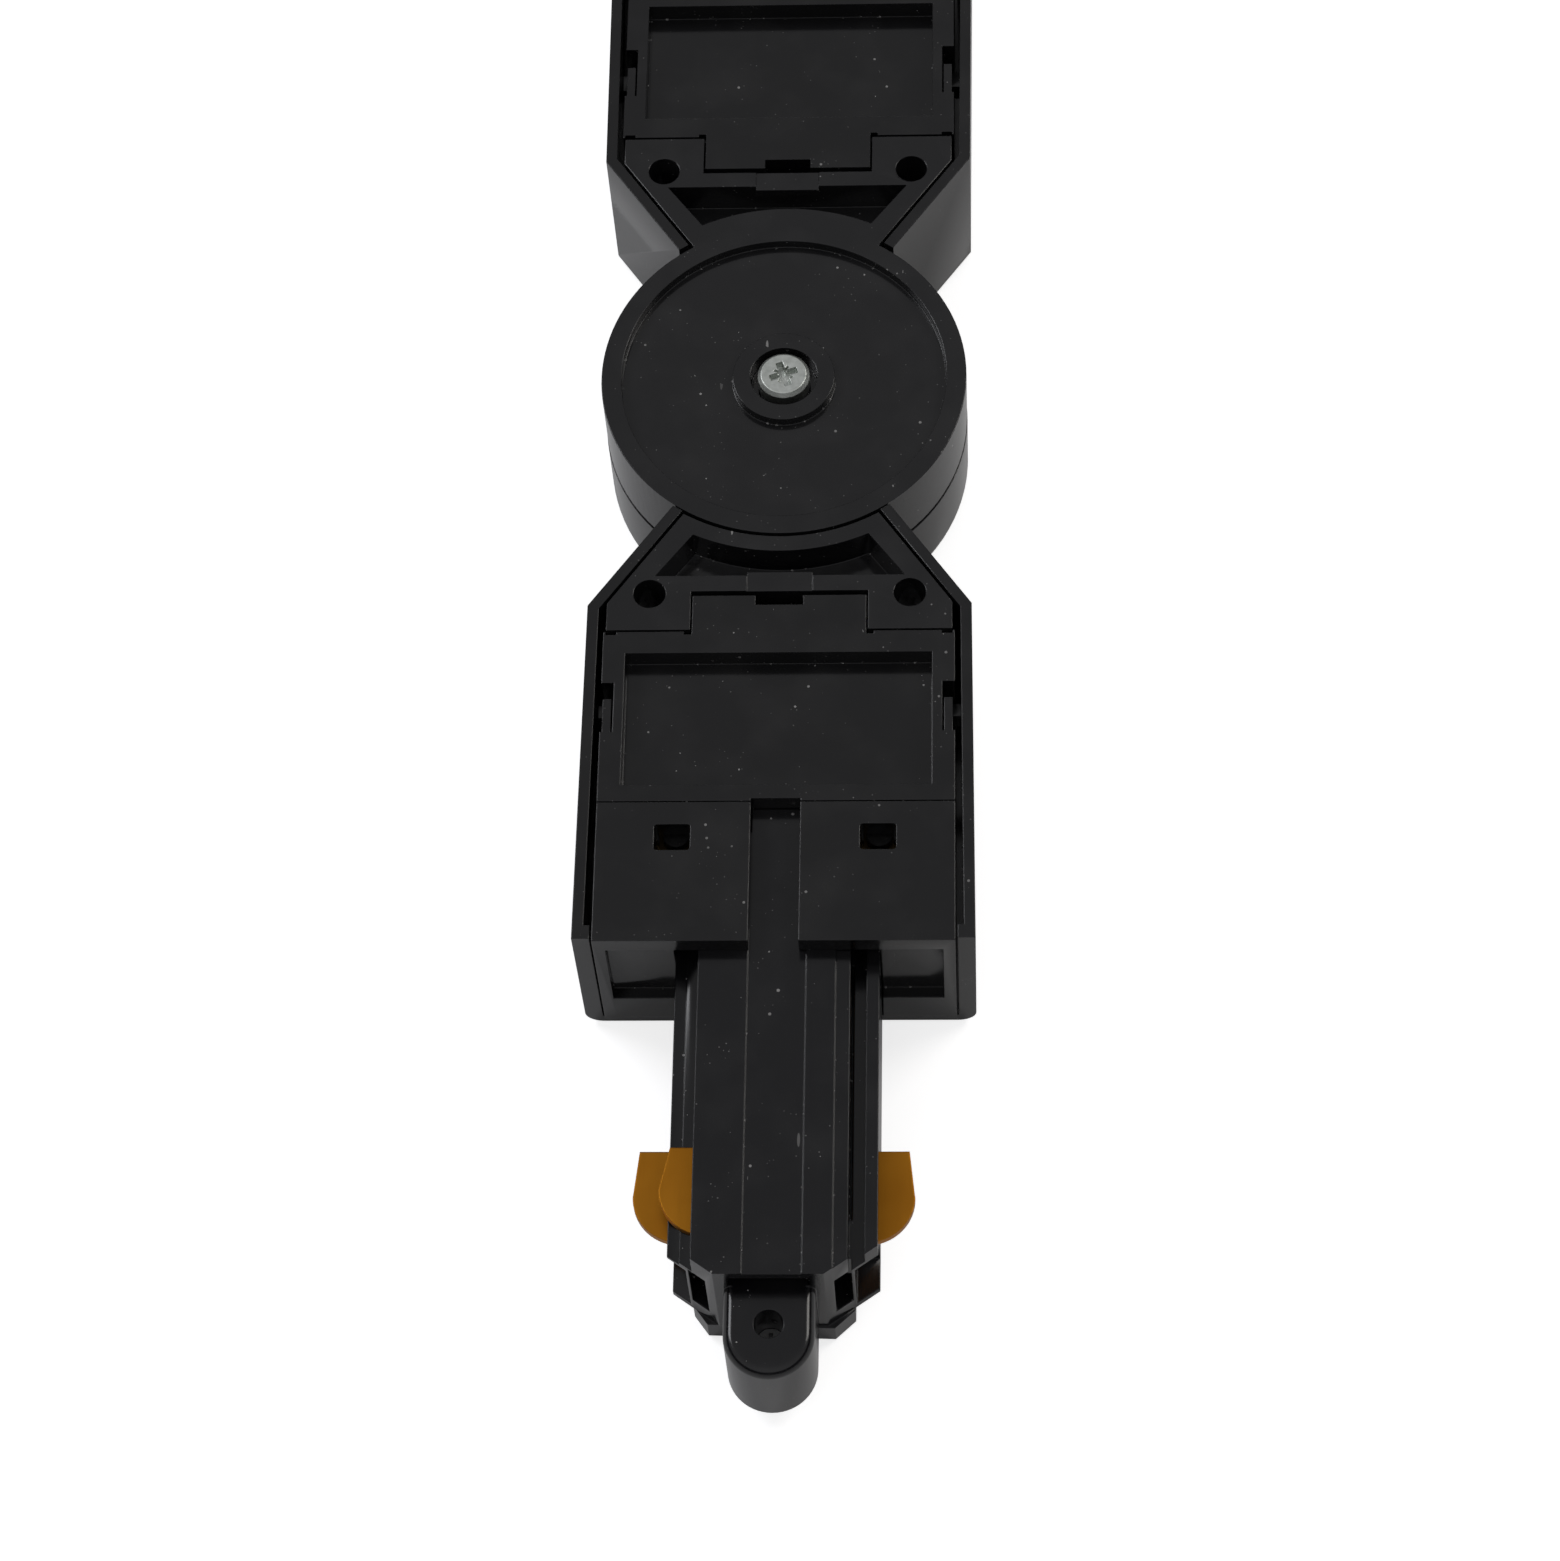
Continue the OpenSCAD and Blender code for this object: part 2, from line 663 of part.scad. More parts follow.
// The block that fills the outer part of an arm and holds the plug
module block(catch, spring) {
    difference() {
        union() {
            box([-block_x, block_rear, block_low], [block_x, block_front, arm_h]);
            box([-tongue_x, tongue_y, frame_low], [tongue_x, block_rear + 1, arm_h]);
        }
        // Pocket, and the marks at the corners beside the frame
        box([-pocket_x, pocket_y, arm_h - pocket_d], [pocket_x, pocket_y + pocket_l, arm_h + 1]);
        both() {
            catch_cut(catch, spring);
            round_box([port_x, port_y, cavity_z - 1],
                [port_x + port_w, port_y + port_l, arm_h + 1], port_r);
            box([block_x - 1.2, block_rear - 1, arm_h - 1],
                [block_x - 0.2, block_rear + corner_mark, arm_h + 1]);
            box([tongue_x + 0.03, block_rear - 1, arm_h - 1],
                [tongue_x + 0.7, block_rear + corner_mark, arm_h + 1]);
        }
        box([-tongue_slot_x, tongue_y - 1, frame_low - 1],
            [tongue_slot_x, tongue_y + tongue_slot_l, arm_h + 1]);
        box([-block_x - 1, block_rear + parting_in - parting_w / 2, arm_h - 0.3],
            [block_x + 1, block_rear + parting_in + parting_w / 2, arm_h + 1]);
        // Slot over the plug's middle band
        box([-slot_x, slot_y, plug_top - band_t], [slot_x, block_front + 1, arm_h + 1]);
        // Front face with its recess, the plug's passage and the line over the floor
        box([-panel_x, panel_y, panel_z], [panel_x, block_front + 1, plug_top]);
        box([-plug_left - 0.1, cavity_end - 1, -1], [plug_right + 0.1, block_front + 1, plug_top]);
        box([-panel_x, block_front - front_line_d, block_low - 1],
            [panel_x, block_front + 1, block_low + front_line_h]);
        // Room for the wires, the terminals and the plug's inner end
        box([-cavity_x, cavity_y, -1], [cavity_x, cavity_end, cavity_z]);
        box([-pocket_x, block_rear - 1, -1], [pocket_x, cavity_y + 0.5, wire_z1 + 4.5 * wire_r]);
        box([-inner_plug_x - 0.1, inner_plug_y - 0.1, cavity_z - 1],
            [inner_plug_x + 0.1, cavity_end, plug_top]);
    }
}

module near_block() {
    color(dark) near() block(near_catch, near_spring);
}

module far_block() {
    color(dark) block(far_catch, far_spring);
}

// Cross-section of the plug's wide part, with keyed steps on top
module plug_section() {
    ledge_z = plug_top - ledge_d;
    polygon([[plug_right, plug_low], [plug_right, step_top], [groove_x + groove_w, step_top],
        [groove_x + groove_w, groove_z], [groove_x, groove_z], [groove_x, ledge_z],
        [plate_x, ledge_z], [plate_x, plug_top], [band_right, plug_top],
        [band_right, plug_top - band_d], [-band_left, plug_top - band_d],
        [-band_left, plug_top], [-plate_left, plug_top], [-plate_left, left_step_z],
        [-left_step_x, left_step_z], [-left_step_x, left_ledge_z],
        [-plug_left, left_ledge_z], [-plug_left, plug_low]]);
}

module plug_nose_plan() {
    wide = plug_x + 1;
    polygon([[-wide, cavity_end], [wide, cavity_end],
        [wide, plug_front - (wide - nose_x) * plug_slope], [nose_x, plug_front],
        [-nose_x, plug_front], [-wide, plug_front - (wide - nose_x) * plug_slope]]);
}

// Plan of the lower rib, whose nose stands a little in front of the wide part's
module rib_plan(rear) {
    polygon([[-rib_x, rear], [rib_x, rear], [rib_x, plug_front - 1.45],
        [nose_x + 0.6, plug_front + 0.25], [-nose_x - 1.1, plug_front - 0.1],
        [-rib_x, plug_front - 1.9]]);
}

// Half of the lug's cross-section, with its rounded upper edge
module lug_side() {
    square_z = lug_top - lug_round;
    translate([0, lug_low]) square([lug_r - lug_round, lug_top - lug_low]);
    translate([0, lug_low]) square([lug_r, square_z - lug_low]);
    translate([lug_r - lug_round, square_z]) circle(lug_round);
}

module plug_shape() {
    intersection() {
        union() {
            translate([0, plug_front + 1, 0]) rotate([90, 0, 0])
                linear_extrude(plug_front + 1 - cavity_end) plug_section();
            box([-inner_plug_x, inner_plug_y, plug_foot],
                [inner_plug_x, cavity_end + 0.1, plug_top - band_d]);
            box([-band_side, band_rear, plug_top - band_t + 0.1],
                [band_side, inner_plug_y + 1, plug_top - band_d]);
        }
        linear_extrude(arm_h) union() {
            plug_nose_plan();
            translate([-inner_plug_x, band_rear - 1])
                square([2 * inner_plug_x, cavity_end - band_rear + 2]);
        }
    }
    translate([0, 0, plug_foot]) linear_extrude(plug_low - plug_foot + 0.1)
        rib_plan(cavity_end);
    translate([0, 0, rib_low]) linear_extrude(plug_foot - rib_low + 0.1) rib_plan(block_front);
    // Lug with a round end and a rounded upper edge
    translate([0, lug_y + lug_shift, 0]) {
        rotate_extrude(angle = 180) lug_side();
        rotate([90, 0, 0]) linear_extrude(lug_y + lug_shift - plug_front + 2) {
            lug_side();
            mirror([1, 0]) lug_side();
        }
    }
}

// Channels of the three contacts
module contact_channels() {
    gap = contact_gap;
    x = upper_tail_x;
    z1 = blade_z1 - gap;
    z2 = blade_z2 - gap;
    t = blade_t + 2 * gap;
    box([-x - tail_w - gap, inner_plug_y - 1, z2], [-x + gap, step_y + blade_t + gap, z2 + t]);
    box([-x - tail_w - gap, step_y - gap, z2], [-x + gap, step_y + blade_t + gap, z1 + t]);
    box([-x - tail_w - gap, step_y - gap, z1], [-x + gap, blade_end1 + channel_room, z1 + t]);
    box([-plug_left, blade_y1 - gap, z1], [-x - tail_w / 2, blade_end1 + channel_room, z1 + t]);
    both() {
        box([lower_tail_x - gap, inner_plug_y - 1, z2],
            [lower_tail_x + tail_w + gap, blade_end2 + 0.1, z2 + t]);
        box([lower_tail_x + tail_w / 2, blade_y2 - gap, z2], [far, blade_end2 + 0.1, z2 + t]);
    }
}

// Openings in the sloping nose faces: an outer one that is open to the side, and an inner one
module nose_openings() {
    both() {
        box([outer_open_x, blade_end2 - 1.4, plug_low + outer_open_low], [far, far, blade_z2]);
        box([outer_open_x, blade_end2 + 0.3, plug_low + outer_open_low],
            [far, far, left_ledge_z - 0.4]);
        box([inner_open_x, blade_end2 - 0.5, plug_low + inner_open_low],
            [inner_open_x + inner_open_w, far, plug_low + inner_open_top]);
        box([inner_open_x, blade_end2 + 2, plug_low + inner_open_low],
            [inner_open_x + inner_open_w, far, blade_z1 - 0.4]);
    }
}

module plug() {
    difference() {
        plug_shape();
        translate([0, lug_y, 0]) cylinder(r = lug_hole_r, h = arm_h);
        contact_channels();
        nose_openings();
        // Recess over the lug
        box([-lug_r + 0.4, plug_front - 1, lug_top], [lug_r - 0.4, far, plug_top - 1.1]);
        // Slit along the key groove
        box([groove_x + 0.05, block_front, groove_z - 1.2],
            [groove_x + 0.3, blade_end1 - 1.95, far]);
    }
}

module near_plug() {
    color(dark) near() plug();
}

module far_plug() {
    color(dark) plug();
}

// Plan of a contact blade that leaves the plug at x0 and reaches out to x1
module blade_plan(x0, x1, y0, straight, flare) {
    yc = y0 + straight;
    polygon([[x0, y0], [x1 - flare, y0], [x1 - 0.02, yc], [x0, yc]]);
    intersection() {
        translate([x1 - blade_r, yc]) circle(blade_r);
        translate([x0, yc - 0.05]) square([2 * blade_r, 2 * blade_r]);
    }
}

module upper_contact() {
    x = upper_tail_x + tail_w;
    mirror([1, 0, 0]) {
        translate([0, 0, blade_z1]) linear_extrude(blade_t) {
            blade_plan(x - 0.6, upper_reach, blade_y1, blade_straight1, 0.9);
            translate([upper_tail_x, step_y]) square([tail_w, blade_end1 - step_y]);
        }
        box([upper_tail_x, step_y, blade_z2], [x, step_y + blade_t, blade_z1 + blade_t]);
        box([upper_tail_x, middle_screw_y, blade_z2], [x, step_y + blade_t, blade_z2 + blade_t]);
        translate([0, 0, blade_z2]) linear_extrude(blade_t) difference() {
            translate([-1.5, middle_screw_y - 1.1]) square([x + 1.5, 2.2]);
            translate([0, middle_screw_y]) circle(terminal_screw_r + wire_fit);
        }
    }
}

module lower_contact(reach) {
    translate([0, 0, blade_z2]) linear_extrude(blade_t) {
        blade_plan(lower_tail_x + 0.5, reach, blade_y2, blade_straight2, 0.5);
        translate([lower_tail_x, terminal_rear]) square([tail_w, tail_end - terminal_rear]);
    }
}

module near_upper_contact() {
    color(copper) near() upper_contact();
}

module far_upper_contact() {
    color(copper) upper_contact();
}

module near_left_contact() {
    color(copper) near() mirror([1, 0, 0]) lower_contact(left_reach);
}

module far_left_contact() {
    color(copper) mirror([1, 0, 0]) lower_contact(left_reach);
}

module near_right_contact() {
    color(copper) near() lower_contact(right_reach);
}

module far_right_contact() {
    color(copper) lower_contact(right_reach);
}

// Bore for a wire's end, from a terminal's rear face
module wire_bore(x, y) {
    translate([x, y - 1, wire_z1]) rotate([-90, 0, 0])
        cylinder(r = wire_r + wire_fit, h = 1 + wire_grip + 2 * wire_link);
}

// Brass terminals: a side one beside the plug and the middle one behind it
module side_terminal() {
    difference() {
        box([inner_plug_x + 0.1, terminal_rear, terminal_low],
            [port_x + port_w + 0.5, terminal_rear + terminal_l, terminal_z]);
        box([inner_plug_x - 1, terminal_rear - 1, blade_z2 - 0.02],
            [lower_tail_x + tail_w + 0.02, cavity_end, blade_z2 + blade_t + 0.02]);
        wire_bore(side_wire_x, terminal_rear);
        translate([terminal_x, terminal_y, wire_z1])
            cylinder(r = terminal_screw_r + wire_fit, h = arm_h);
    }
}

module middle_terminal() {
    difference() {
        box([-middle_terminal_x, middle_terminal_rear, terminal_low],
            [middle_terminal_x, middle_terminal_end, blade_z2 - contact_gap]);
        wire_bore(0, middle_terminal_rear);
        translate([0, middle_screw_y, wire_z1])
            cylinder(r = terminal_screw_r + wire_fit, h = arm_h);
    }
}

// Slotted screw with its head standing on height z
module terminal_screw(z) {
    difference() {
        union() {
            translate([0, 0, wire_z1 + wire_r + 0.2])
                cylinder(r = terminal_screw_r, h = z - wire_z1 - wire_r - 0.1);
            translate([0, 0, z]) cylinder(r = terminal_head_r, h = terminal_head_h);
        }
        box([-2, -0.15, z + terminal_head_h / 2], [2, 0.15, z + 2]);
    }
}

module terminal_screws() {
    both() translate([terminal_x, terminal_y, 0]) terminal_screw(terminal_z);
    translate([0, middle_screw_y, 0]) terminal_screw(blade_z2 + blade_t);
}

module near_left_terminal() {
    color(brass) near() mirror([1, 0, 0]) side_terminal();
}

module far_left_terminal() {
    color(brass) mirror([1, 0, 0]) side_terminal();
}

module near_right_terminal() {
    color(brass) near() side_terminal();
}

module far_right_terminal() {
    color(brass) side_terminal();
}

module near_middle_terminal() {
    color(brass) near() middle_terminal();
}

module far_middle_terminal() {
    color(brass) middle_terminal();
}

module near_terminal_screws() {
    color(steel) near() terminal_screws();
}

module far_terminal_screws() {
    color(steel) terminal_screws();
}

// Cross recess of a small screw, cut down from height z
module cross_recess(l, w, z) {
    box([-w / 2, -l / 2, z], [w / 2, l / 2, far]);
    box([-l / 2, -w / 2, z], [l / 2, w / 2, far]);
}

// Small screws that hold a frame down on the cover's posts
module frame_screws() {
    head_z = frame_post_z + frame_shelf;
    both() translate([frame_screw_x, frame_screw_y, 0]) difference() {
        union() {
            translate([0, 0, screw_bore_z + 0.3])
                cylinder(r = screw_bore_r - 0.02, h = head_z - screw_bore_z - 0.2);
            translate([0, 0, head_z]) cylinder(r = frame_well_r - 0.1, h = 1.2);
        }
        cross_recess(1.6, 0.4, head_z + 0.7);
    }
}

module near_frame_screws() {
    color(steel) near() frame_screws();
}

module far_frame_screws() {
    color(steel) frame_screws();
}

// Screw in the lug's hole
module lug_screw() {
    translate([0, lug_y, 0]) difference() {
        translate([0, 0, lug_low + 0.3])
            cylinder(r = lug_hole_r - lug_screw_fit, h = lug_screw_l);
        cross_recess(1.7, 0.4, lug_low + lug_screw_l - 0.5);
    }
}

module near_lug_screw() {
    color(steel) near() lug_screw();
}

module far_lug_screw() {
    color(steel) lug_screw();
}

// Pivot screw with a cross recess, its washer and the brass insert it goes into
module pivot_screw() {
    color(steel) difference() {
        union() {
            translate([0, 0, screw_low]) cylinder(r = pivot_r, h = head_low - screw_low + 0.1);
            translate([0, 0, head_low]) cylinder(r = head_r, h = head_h - head_edge);
            translate([0, 0, head_top - head_edge])
                cylinder(r1 = head_r, r2 = head_r - 0.35, h = head_edge);
        }
        rotate([0, 0, 20]) cross_recess(2.7, 0.64, head_top - 0.9);
        rotate([0, 0, 65]) cross_recess(1.9, 0.2, head_top - 0.5);
    }
}

module pivot_washer() {
    color(steel) difference() {
        translate([0, 0, washer_z]) cylinder(r = washer_r, h = head_low - washer_z);
        cylinder(r = pivot_r + 0.05, h = arm_h);
    }
}

module pivot_insert() {
    color(brass) difference() {
        translate([0, 0, insert_low]) cylinder(r = insert_r, h = insert_top - insert_low);
        cylinder(r = pivot_r + insert_fit, h = arm_h);
    }
}

// A straight length of wire from y0 to y1, which reaches a little into the bends beside it
module wire_run(x, z, y0, y1) {
    translate([x, y0 - wire_link, z]) rotate([-90, 0, 0])
        cylinder(r = wire_r, h = y1 - y0 + 2 * wire_link);
}

// Double bend in the plane of X and Y, from [0, 0] to [l, h], heading along +X at both ends
module wire_bend(l, h) {
    r = (l * l + h * h) / (4 * h);
    a = 2 * atan(h / l);
    translate([0, r, 0]) rotate([0, 0, -90]) rotate_extrude(angle = a - bend_gap_a)
        translate([r, 0]) circle(wire_r + wire_swell);
    translate([l, h - r, 0]) rotate([0, 0, 90]) rotate_extrude(angle = a - bend_gap_a)
        translate([r, 0]) circle(wire_r + wire_swell);
    translate([l / 2, h / 2, 0]) rotate([0, 0, a]) rotate([0, 90, 0])
        cylinder(r = wire_r, h = 4 * wire_link, center = true);
}

// Upright double bend at x that climbs from [y0, z0] to [y1, z1]
module wire_rise(x, y0, z0, y1, z1) {
    translate([x, y0, z0]) rotate([90, 0, 90]) wire_bend(y1 - y0, z1 - z0);
}

// Upright double bend at x that falls from [y0, z0] to [y1, z1]
module wire_fall(x, y0, z0, y1, z1) {
    translate([x, y0, z0]) rotate([90, 0, 90]) mirror([0, 1, 0]) wire_bend(y1 - y0, z0 - z1);
}

// Level double bend at height z that moves from [x0, y0] to [x1, y1]
module wire_shift(x0, y0, x1, y1, z) {
    translate([x0, y0, z]) mirror([1, 0, 0]) rotate([0, 0, 90]) wire_bend(y1 - y0, x1 - x0);
}

// The part of a wire that crosses the hinge: level in the near arm, up through the drum,
// out under the disc and down again in the far arm
module wire_middle(x, end) {
    wire_run(x, wire_z1, -end, wire_y1);
    wire_rise(x, wire_y1, wire_z1, wire_y2, wire_z2);
    wire_run(x, wire_z2, wire_y2, wire_y3);
    wire_fall(x, wire_y3, wire_z2, wire_y4, wire_z1);
    wire_run(x, wire_z1, wire_y4, end);
}

module live_wire() {
    color([0.45, 0.26, 0.14]) wire_middle(-side_wire_x, side_wire_end);
}

module neutral_wire() {
    color([0.15, 0.3, 0.62]) wire_middle(side_wire_x, side_wire_end);
}

module earth_wire_end() {
    wire_shift(-earth_wire_x, earth_shift_y1, 0, earth_shift_y2, wire_z1);
    wire_run(0, wire_z1, earth_shift_y2, middle_terminal_rear + wire_grip);
}

module earth_wire() {
    color([0.3, 0.55, 0.2]) {
        wire_middle(-earth_wire_x, earth_shift_y1);
        earth_wire_end();
        near() earth_wire_end();
    }
}

near_cover();
far_cover();
near_frame();
far_frame_disc();
near_block();
far_block();
near_plug();
far_plug();
near_upper_contact();
far_upper_contact();
near_left_contact();
far_left_contact();
near_right_contact();
far_right_contact();
near_left_terminal();
far_left_terminal();
near_right_terminal();
far_right_terminal();
near_middle_terminal();
far_middle_terminal();
near_terminal_screws();
far_terminal_screws();
near_frame_screws();
far_frame_screws();
near_lug_screw();
far_lug_screw();
pivot_screw();
pivot_washer();
pivot_insert();
live_wire();
neutral_wire();
earth_wire();
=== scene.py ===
import math
import bmesh
import bpy
import numpy as np
from mathutils import Matrix, Vector


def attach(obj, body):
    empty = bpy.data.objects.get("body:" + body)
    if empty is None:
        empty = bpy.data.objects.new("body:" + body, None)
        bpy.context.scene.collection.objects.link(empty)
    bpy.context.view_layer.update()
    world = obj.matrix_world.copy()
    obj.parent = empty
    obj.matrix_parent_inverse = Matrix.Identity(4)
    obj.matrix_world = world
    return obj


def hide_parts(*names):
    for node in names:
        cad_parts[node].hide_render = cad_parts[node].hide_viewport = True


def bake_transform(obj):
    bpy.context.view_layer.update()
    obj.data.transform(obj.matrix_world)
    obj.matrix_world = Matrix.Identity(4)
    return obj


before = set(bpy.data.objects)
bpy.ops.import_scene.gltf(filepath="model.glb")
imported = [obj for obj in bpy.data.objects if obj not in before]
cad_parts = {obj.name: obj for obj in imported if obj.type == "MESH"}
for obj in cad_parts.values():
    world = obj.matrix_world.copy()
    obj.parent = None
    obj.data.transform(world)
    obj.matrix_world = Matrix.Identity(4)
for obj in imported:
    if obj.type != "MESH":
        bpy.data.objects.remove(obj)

scene = bpy.context.scene
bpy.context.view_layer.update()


# Camera: the photograph was taken from over the near plug, steeply down along the arms
# and a little askew, with a long lens that cuts off the far plug. The viewpoint and the
# three angles were fitted to the edges of the covers and the hinge disc.
PHOTO_LENS = 103.665
SENSOR_WIDTH = 36.0
photo_eye = Vector((0.018901, -0.232577, 0.376556))
photo_heading = math.radians(-5.594)
photo_tilt = math.radians(62.105)
photo_roll = math.radians(-5.251)

sight = Vector((math.sin(photo_heading) * math.cos(photo_tilt),
                math.cos(photo_heading) * math.cos(photo_tilt), -math.sin(photo_tilt)))
level = Vector((math.cos(photo_heading), -math.sin(photo_heading), 0.0))
upright = level.cross(sight)
right = math.cos(photo_roll) * level + math.sin(photo_roll) * upright
up = right.cross(sight)
camera = bpy.data.objects.new("photo_camera", bpy.data.cameras.new("photo_camera"))
scene.collection.objects.link(camera)
camera.data.sensor_fit = "HORIZONTAL"
camera.data.sensor_width = SENSOR_WIDTH
camera.data.lens = PHOTO_LENS
camera.data.clip_start = 0.01
camera.data.clip_end = 20.0
facing = Matrix((right, up, -sight)).transposed().to_4x4()
camera.matrix_world = Matrix.Translation(photo_eye) @ facing
scene.camera = camera


# Covers: two open tubs of black ABS, injection moulded, that hide the wiring from the
# room. The near one carries the lower drum of the hinge. Their outer faces are polished
# in the mould and pick up fine dust and hairline scuffs.
COVER_EDGE = 0.00022
MERGE_GAP = 2e-6
FLAT_ANGLE = math.radians(0.6)
SHARP_ANGLE = math.radians(28)
BEVEL_ANGLE = math.radians(35)


def soft_edges(node, width):
    """A copy of a CAD node whose triangles are merged into flat faces, and whose sharp
    edges are rounded by the width given."""
    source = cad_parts[node]
    mesh = source.data.copy()
    shell = bmesh.new()
    shell.from_mesh(mesh)
    bmesh.ops.remove_doubles(shell, verts=shell.verts, dist=MERGE_GAP)
    bmesh.ops.dissolve_limit(shell, angle_limit=FLAT_ANGLE, verts=shell.verts,
                             edges=shell.edges)
    shell.to_mesh(mesh)
    shell.free()
    mesh.name = "soft_" + node
    piece = bpy.data.objects.new("soft_" + node, mesh)
    scene.collection.objects.link(piece)
    mesh.shade_smooth()
    mesh.set_sharp_from_angle(angle=SHARP_ANGLE)
    rounding = piece.modifiers.new("edges", "BEVEL")
    rounding.width = width
    rounding.segments = 2
    rounding.limit_method = "ANGLE"
    rounding.angle_limit = BEVEL_ANGLE
    rounding.use_clamp_overlap = True
    rounding.harden_normals = True
    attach(piece, "far_arm" if node.startswith("far_") else "near_arm")
    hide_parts(node)
    return piece


def calculate(tree, operation, *terms):
    """A math node in the tree. Each term is a socket to link or a number to set, and the
    node's result is given back."""
    node = tree.nodes.new("ShaderNodeMath")
    node.operation = operation
    for socket, term in zip(node.inputs, terms):
        if isinstance(term, bpy.types.NodeSocket):
            tree.links.new(term, socket)
        else:
            socket.default_value = term
    return node.outputs[0]


def speck_layer(tree, scale, stretch, turn, size, keep, contrast):
    """One layer of specks from the cells of a cell pattern. A cell is kept where its random
    red is over keep, is drawn where its distance is under size x (0.4 + 1.2 x green), and
    is as bright as 0.2 + 0.8 x its blue to the power of contrast, so that a high contrast
    makes only a few specks stand out."""
    place = tree.nodes.new("ShaderNodeTexCoord")
    mapping = tree.nodes.new("ShaderNodeMapping")
    mapping.inputs["Rotation"].default_value = (0.0, 0.0, turn)
    mapping.inputs["Scale"].default_value = stretch
    cells = tree.nodes.new("ShaderNodeTexVoronoi")
    cells.inputs["Scale"].default_value = scale
    parts = tree.nodes.new("ShaderNodeSeparateColor")
    tree.links.new(place.outputs["Object"], mapping.inputs["Vector"])
    tree.links.new(mapping.outputs["Vector"], cells.inputs["Vector"])
    tree.links.new(cells.outputs["Color"], parts.inputs["Color"])
    reach = calculate(tree, "MULTIPLY", size,
                      calculate(tree, "MULTIPLY_ADD", parts.outputs["Green"], 1.2, 0.4))
    inside = calculate(tree, "LESS_THAN", cells.outputs["Distance"], reach)
    kept = calculate(tree, "GREATER_THAN", parts.outputs["Red"], keep)
    bright = calculate(tree, "MULTIPLY_ADD",
                       calculate(tree, "POWER", parts.outputs["Blue"], contrast), 0.8, 0.2)
    return calculate(tree, "MULTIPLY", calculate(tree, "MULTIPLY", inside, kept), bright)


DUST_PATCHES = 210.0
SPECKS_PER_METRE = 900.0
GRIT_PER_METRE = 1900.0
FIBRES_PER_METRE = 620.0
ROW_PER_METRE = 2300.0
GRIT_SPREAD = 0.1
CORNER_REACH = 0.0003
CORNER_OPENNESS = 0.75
HAZE_SHARE = 0.06
HAZE_START = -0.026


def dust_group():
    """Node group for dust: specks in patches, finer grit in more of them, a few short
    fibres, rows of specks along the piece's own inner corners, and a thin haze. A patch
    is where a coarse noise is over 1 - amount, and the grit's patches reach further by
    its spread. A corner is where less than the openness given is free of the space within
    its reach. The haze is a small share of that noise. The mask put out, from 0 to 1, is
    the brightest layer."""
    group = bpy.data.node_groups.new("dust_specks", "ShaderNodeTree")
    face = group.interface
    face.new_socket("Amount", in_out="INPUT", socket_type="NodeSocketFloat")
    face.new_socket("Size", in_out="INPUT", socket_type="NodeSocketFloat")
    face.new_socket("Mask", in_out="OUTPUT", socket_type="NodeSocketFloat")
    given, out = group.nodes.new("NodeGroupInput"), group.nodes.new("NodeGroupOutput")
    place = group.nodes.new("ShaderNodeTexCoord")
    patches = group.nodes.new("ShaderNodeTexNoise")
    patches.inputs["Scale"].default_value = DUST_PATCHES
    patches.inputs["Detail"].default_value = 2.0
    group.links.new(place.outputs["Object"], patches.inputs["Vector"])
    even, drawn_out = (1.0, 1.0, 1.0), (1.0, 0.2, 1.0)
    clean = calculate(group, "SUBTRACT", 1.0, given.outputs["Amount"])
    dusty = calculate(group, "GREATER_THAN", patches.outputs["Fac"], clean)
    gritty = calculate(group, "GREATER_THAN", patches.outputs["Fac"],
                       calculate(group, "SUBTRACT", clean, GRIT_SPREAD))
    specks = speck_layer(group, SPECKS_PER_METRE, even, turn=0.0,
                         size=given.outputs["Size"], keep=0.25, contrast=3.0)
    grit = speck_layer(group, GRIT_PER_METRE, even, turn=0.4,
                       size=given.outputs["Size"], keep=0.5, contrast=3.0)
    fibres = speck_layer(group, FIBRES_PER_METRE, drawn_out, turn=0.6,
                         size=0.055, keep=0.6, contrast=3.0)
    hidden = group.nodes.new("ShaderNodeAmbientOcclusion")
    hidden.only_local = True
    hidden.samples = 6
    hidden.inputs["Distance"].default_value = CORNER_REACH
    corner = calculate(group, "LESS_THAN", hidden.outputs["AO"], CORNER_OPENNESS)
    row = speck_layer(group, ROW_PER_METRE, even, turn=0.2,
                      size=0.22, keep=0.62, contrast=0.5)
    haze = calculate(group, "MULTIPLY_ADD", patches.outputs["Fac"], HAZE_SHARE, HAZE_START)
    layers = (calculate(group, "MULTIPLY", specks, dusty),
              calculate(group, "MULTIPLY", grit, gritty),
              calculate(group, "MULTIPLY", fibres, dusty),
              calculate(group, "MULTIPLY", row, corner), haze)
    mask = layers[0]
    for layer in layers[1:]:
        mask = calculate(group, "MAXIMUM", mask, layer)
    group.links.new(mask, out.inputs["Mask"])
    return group


POLISH_CLOUDS = 160.0
FLOW_STRETCH = 0.22


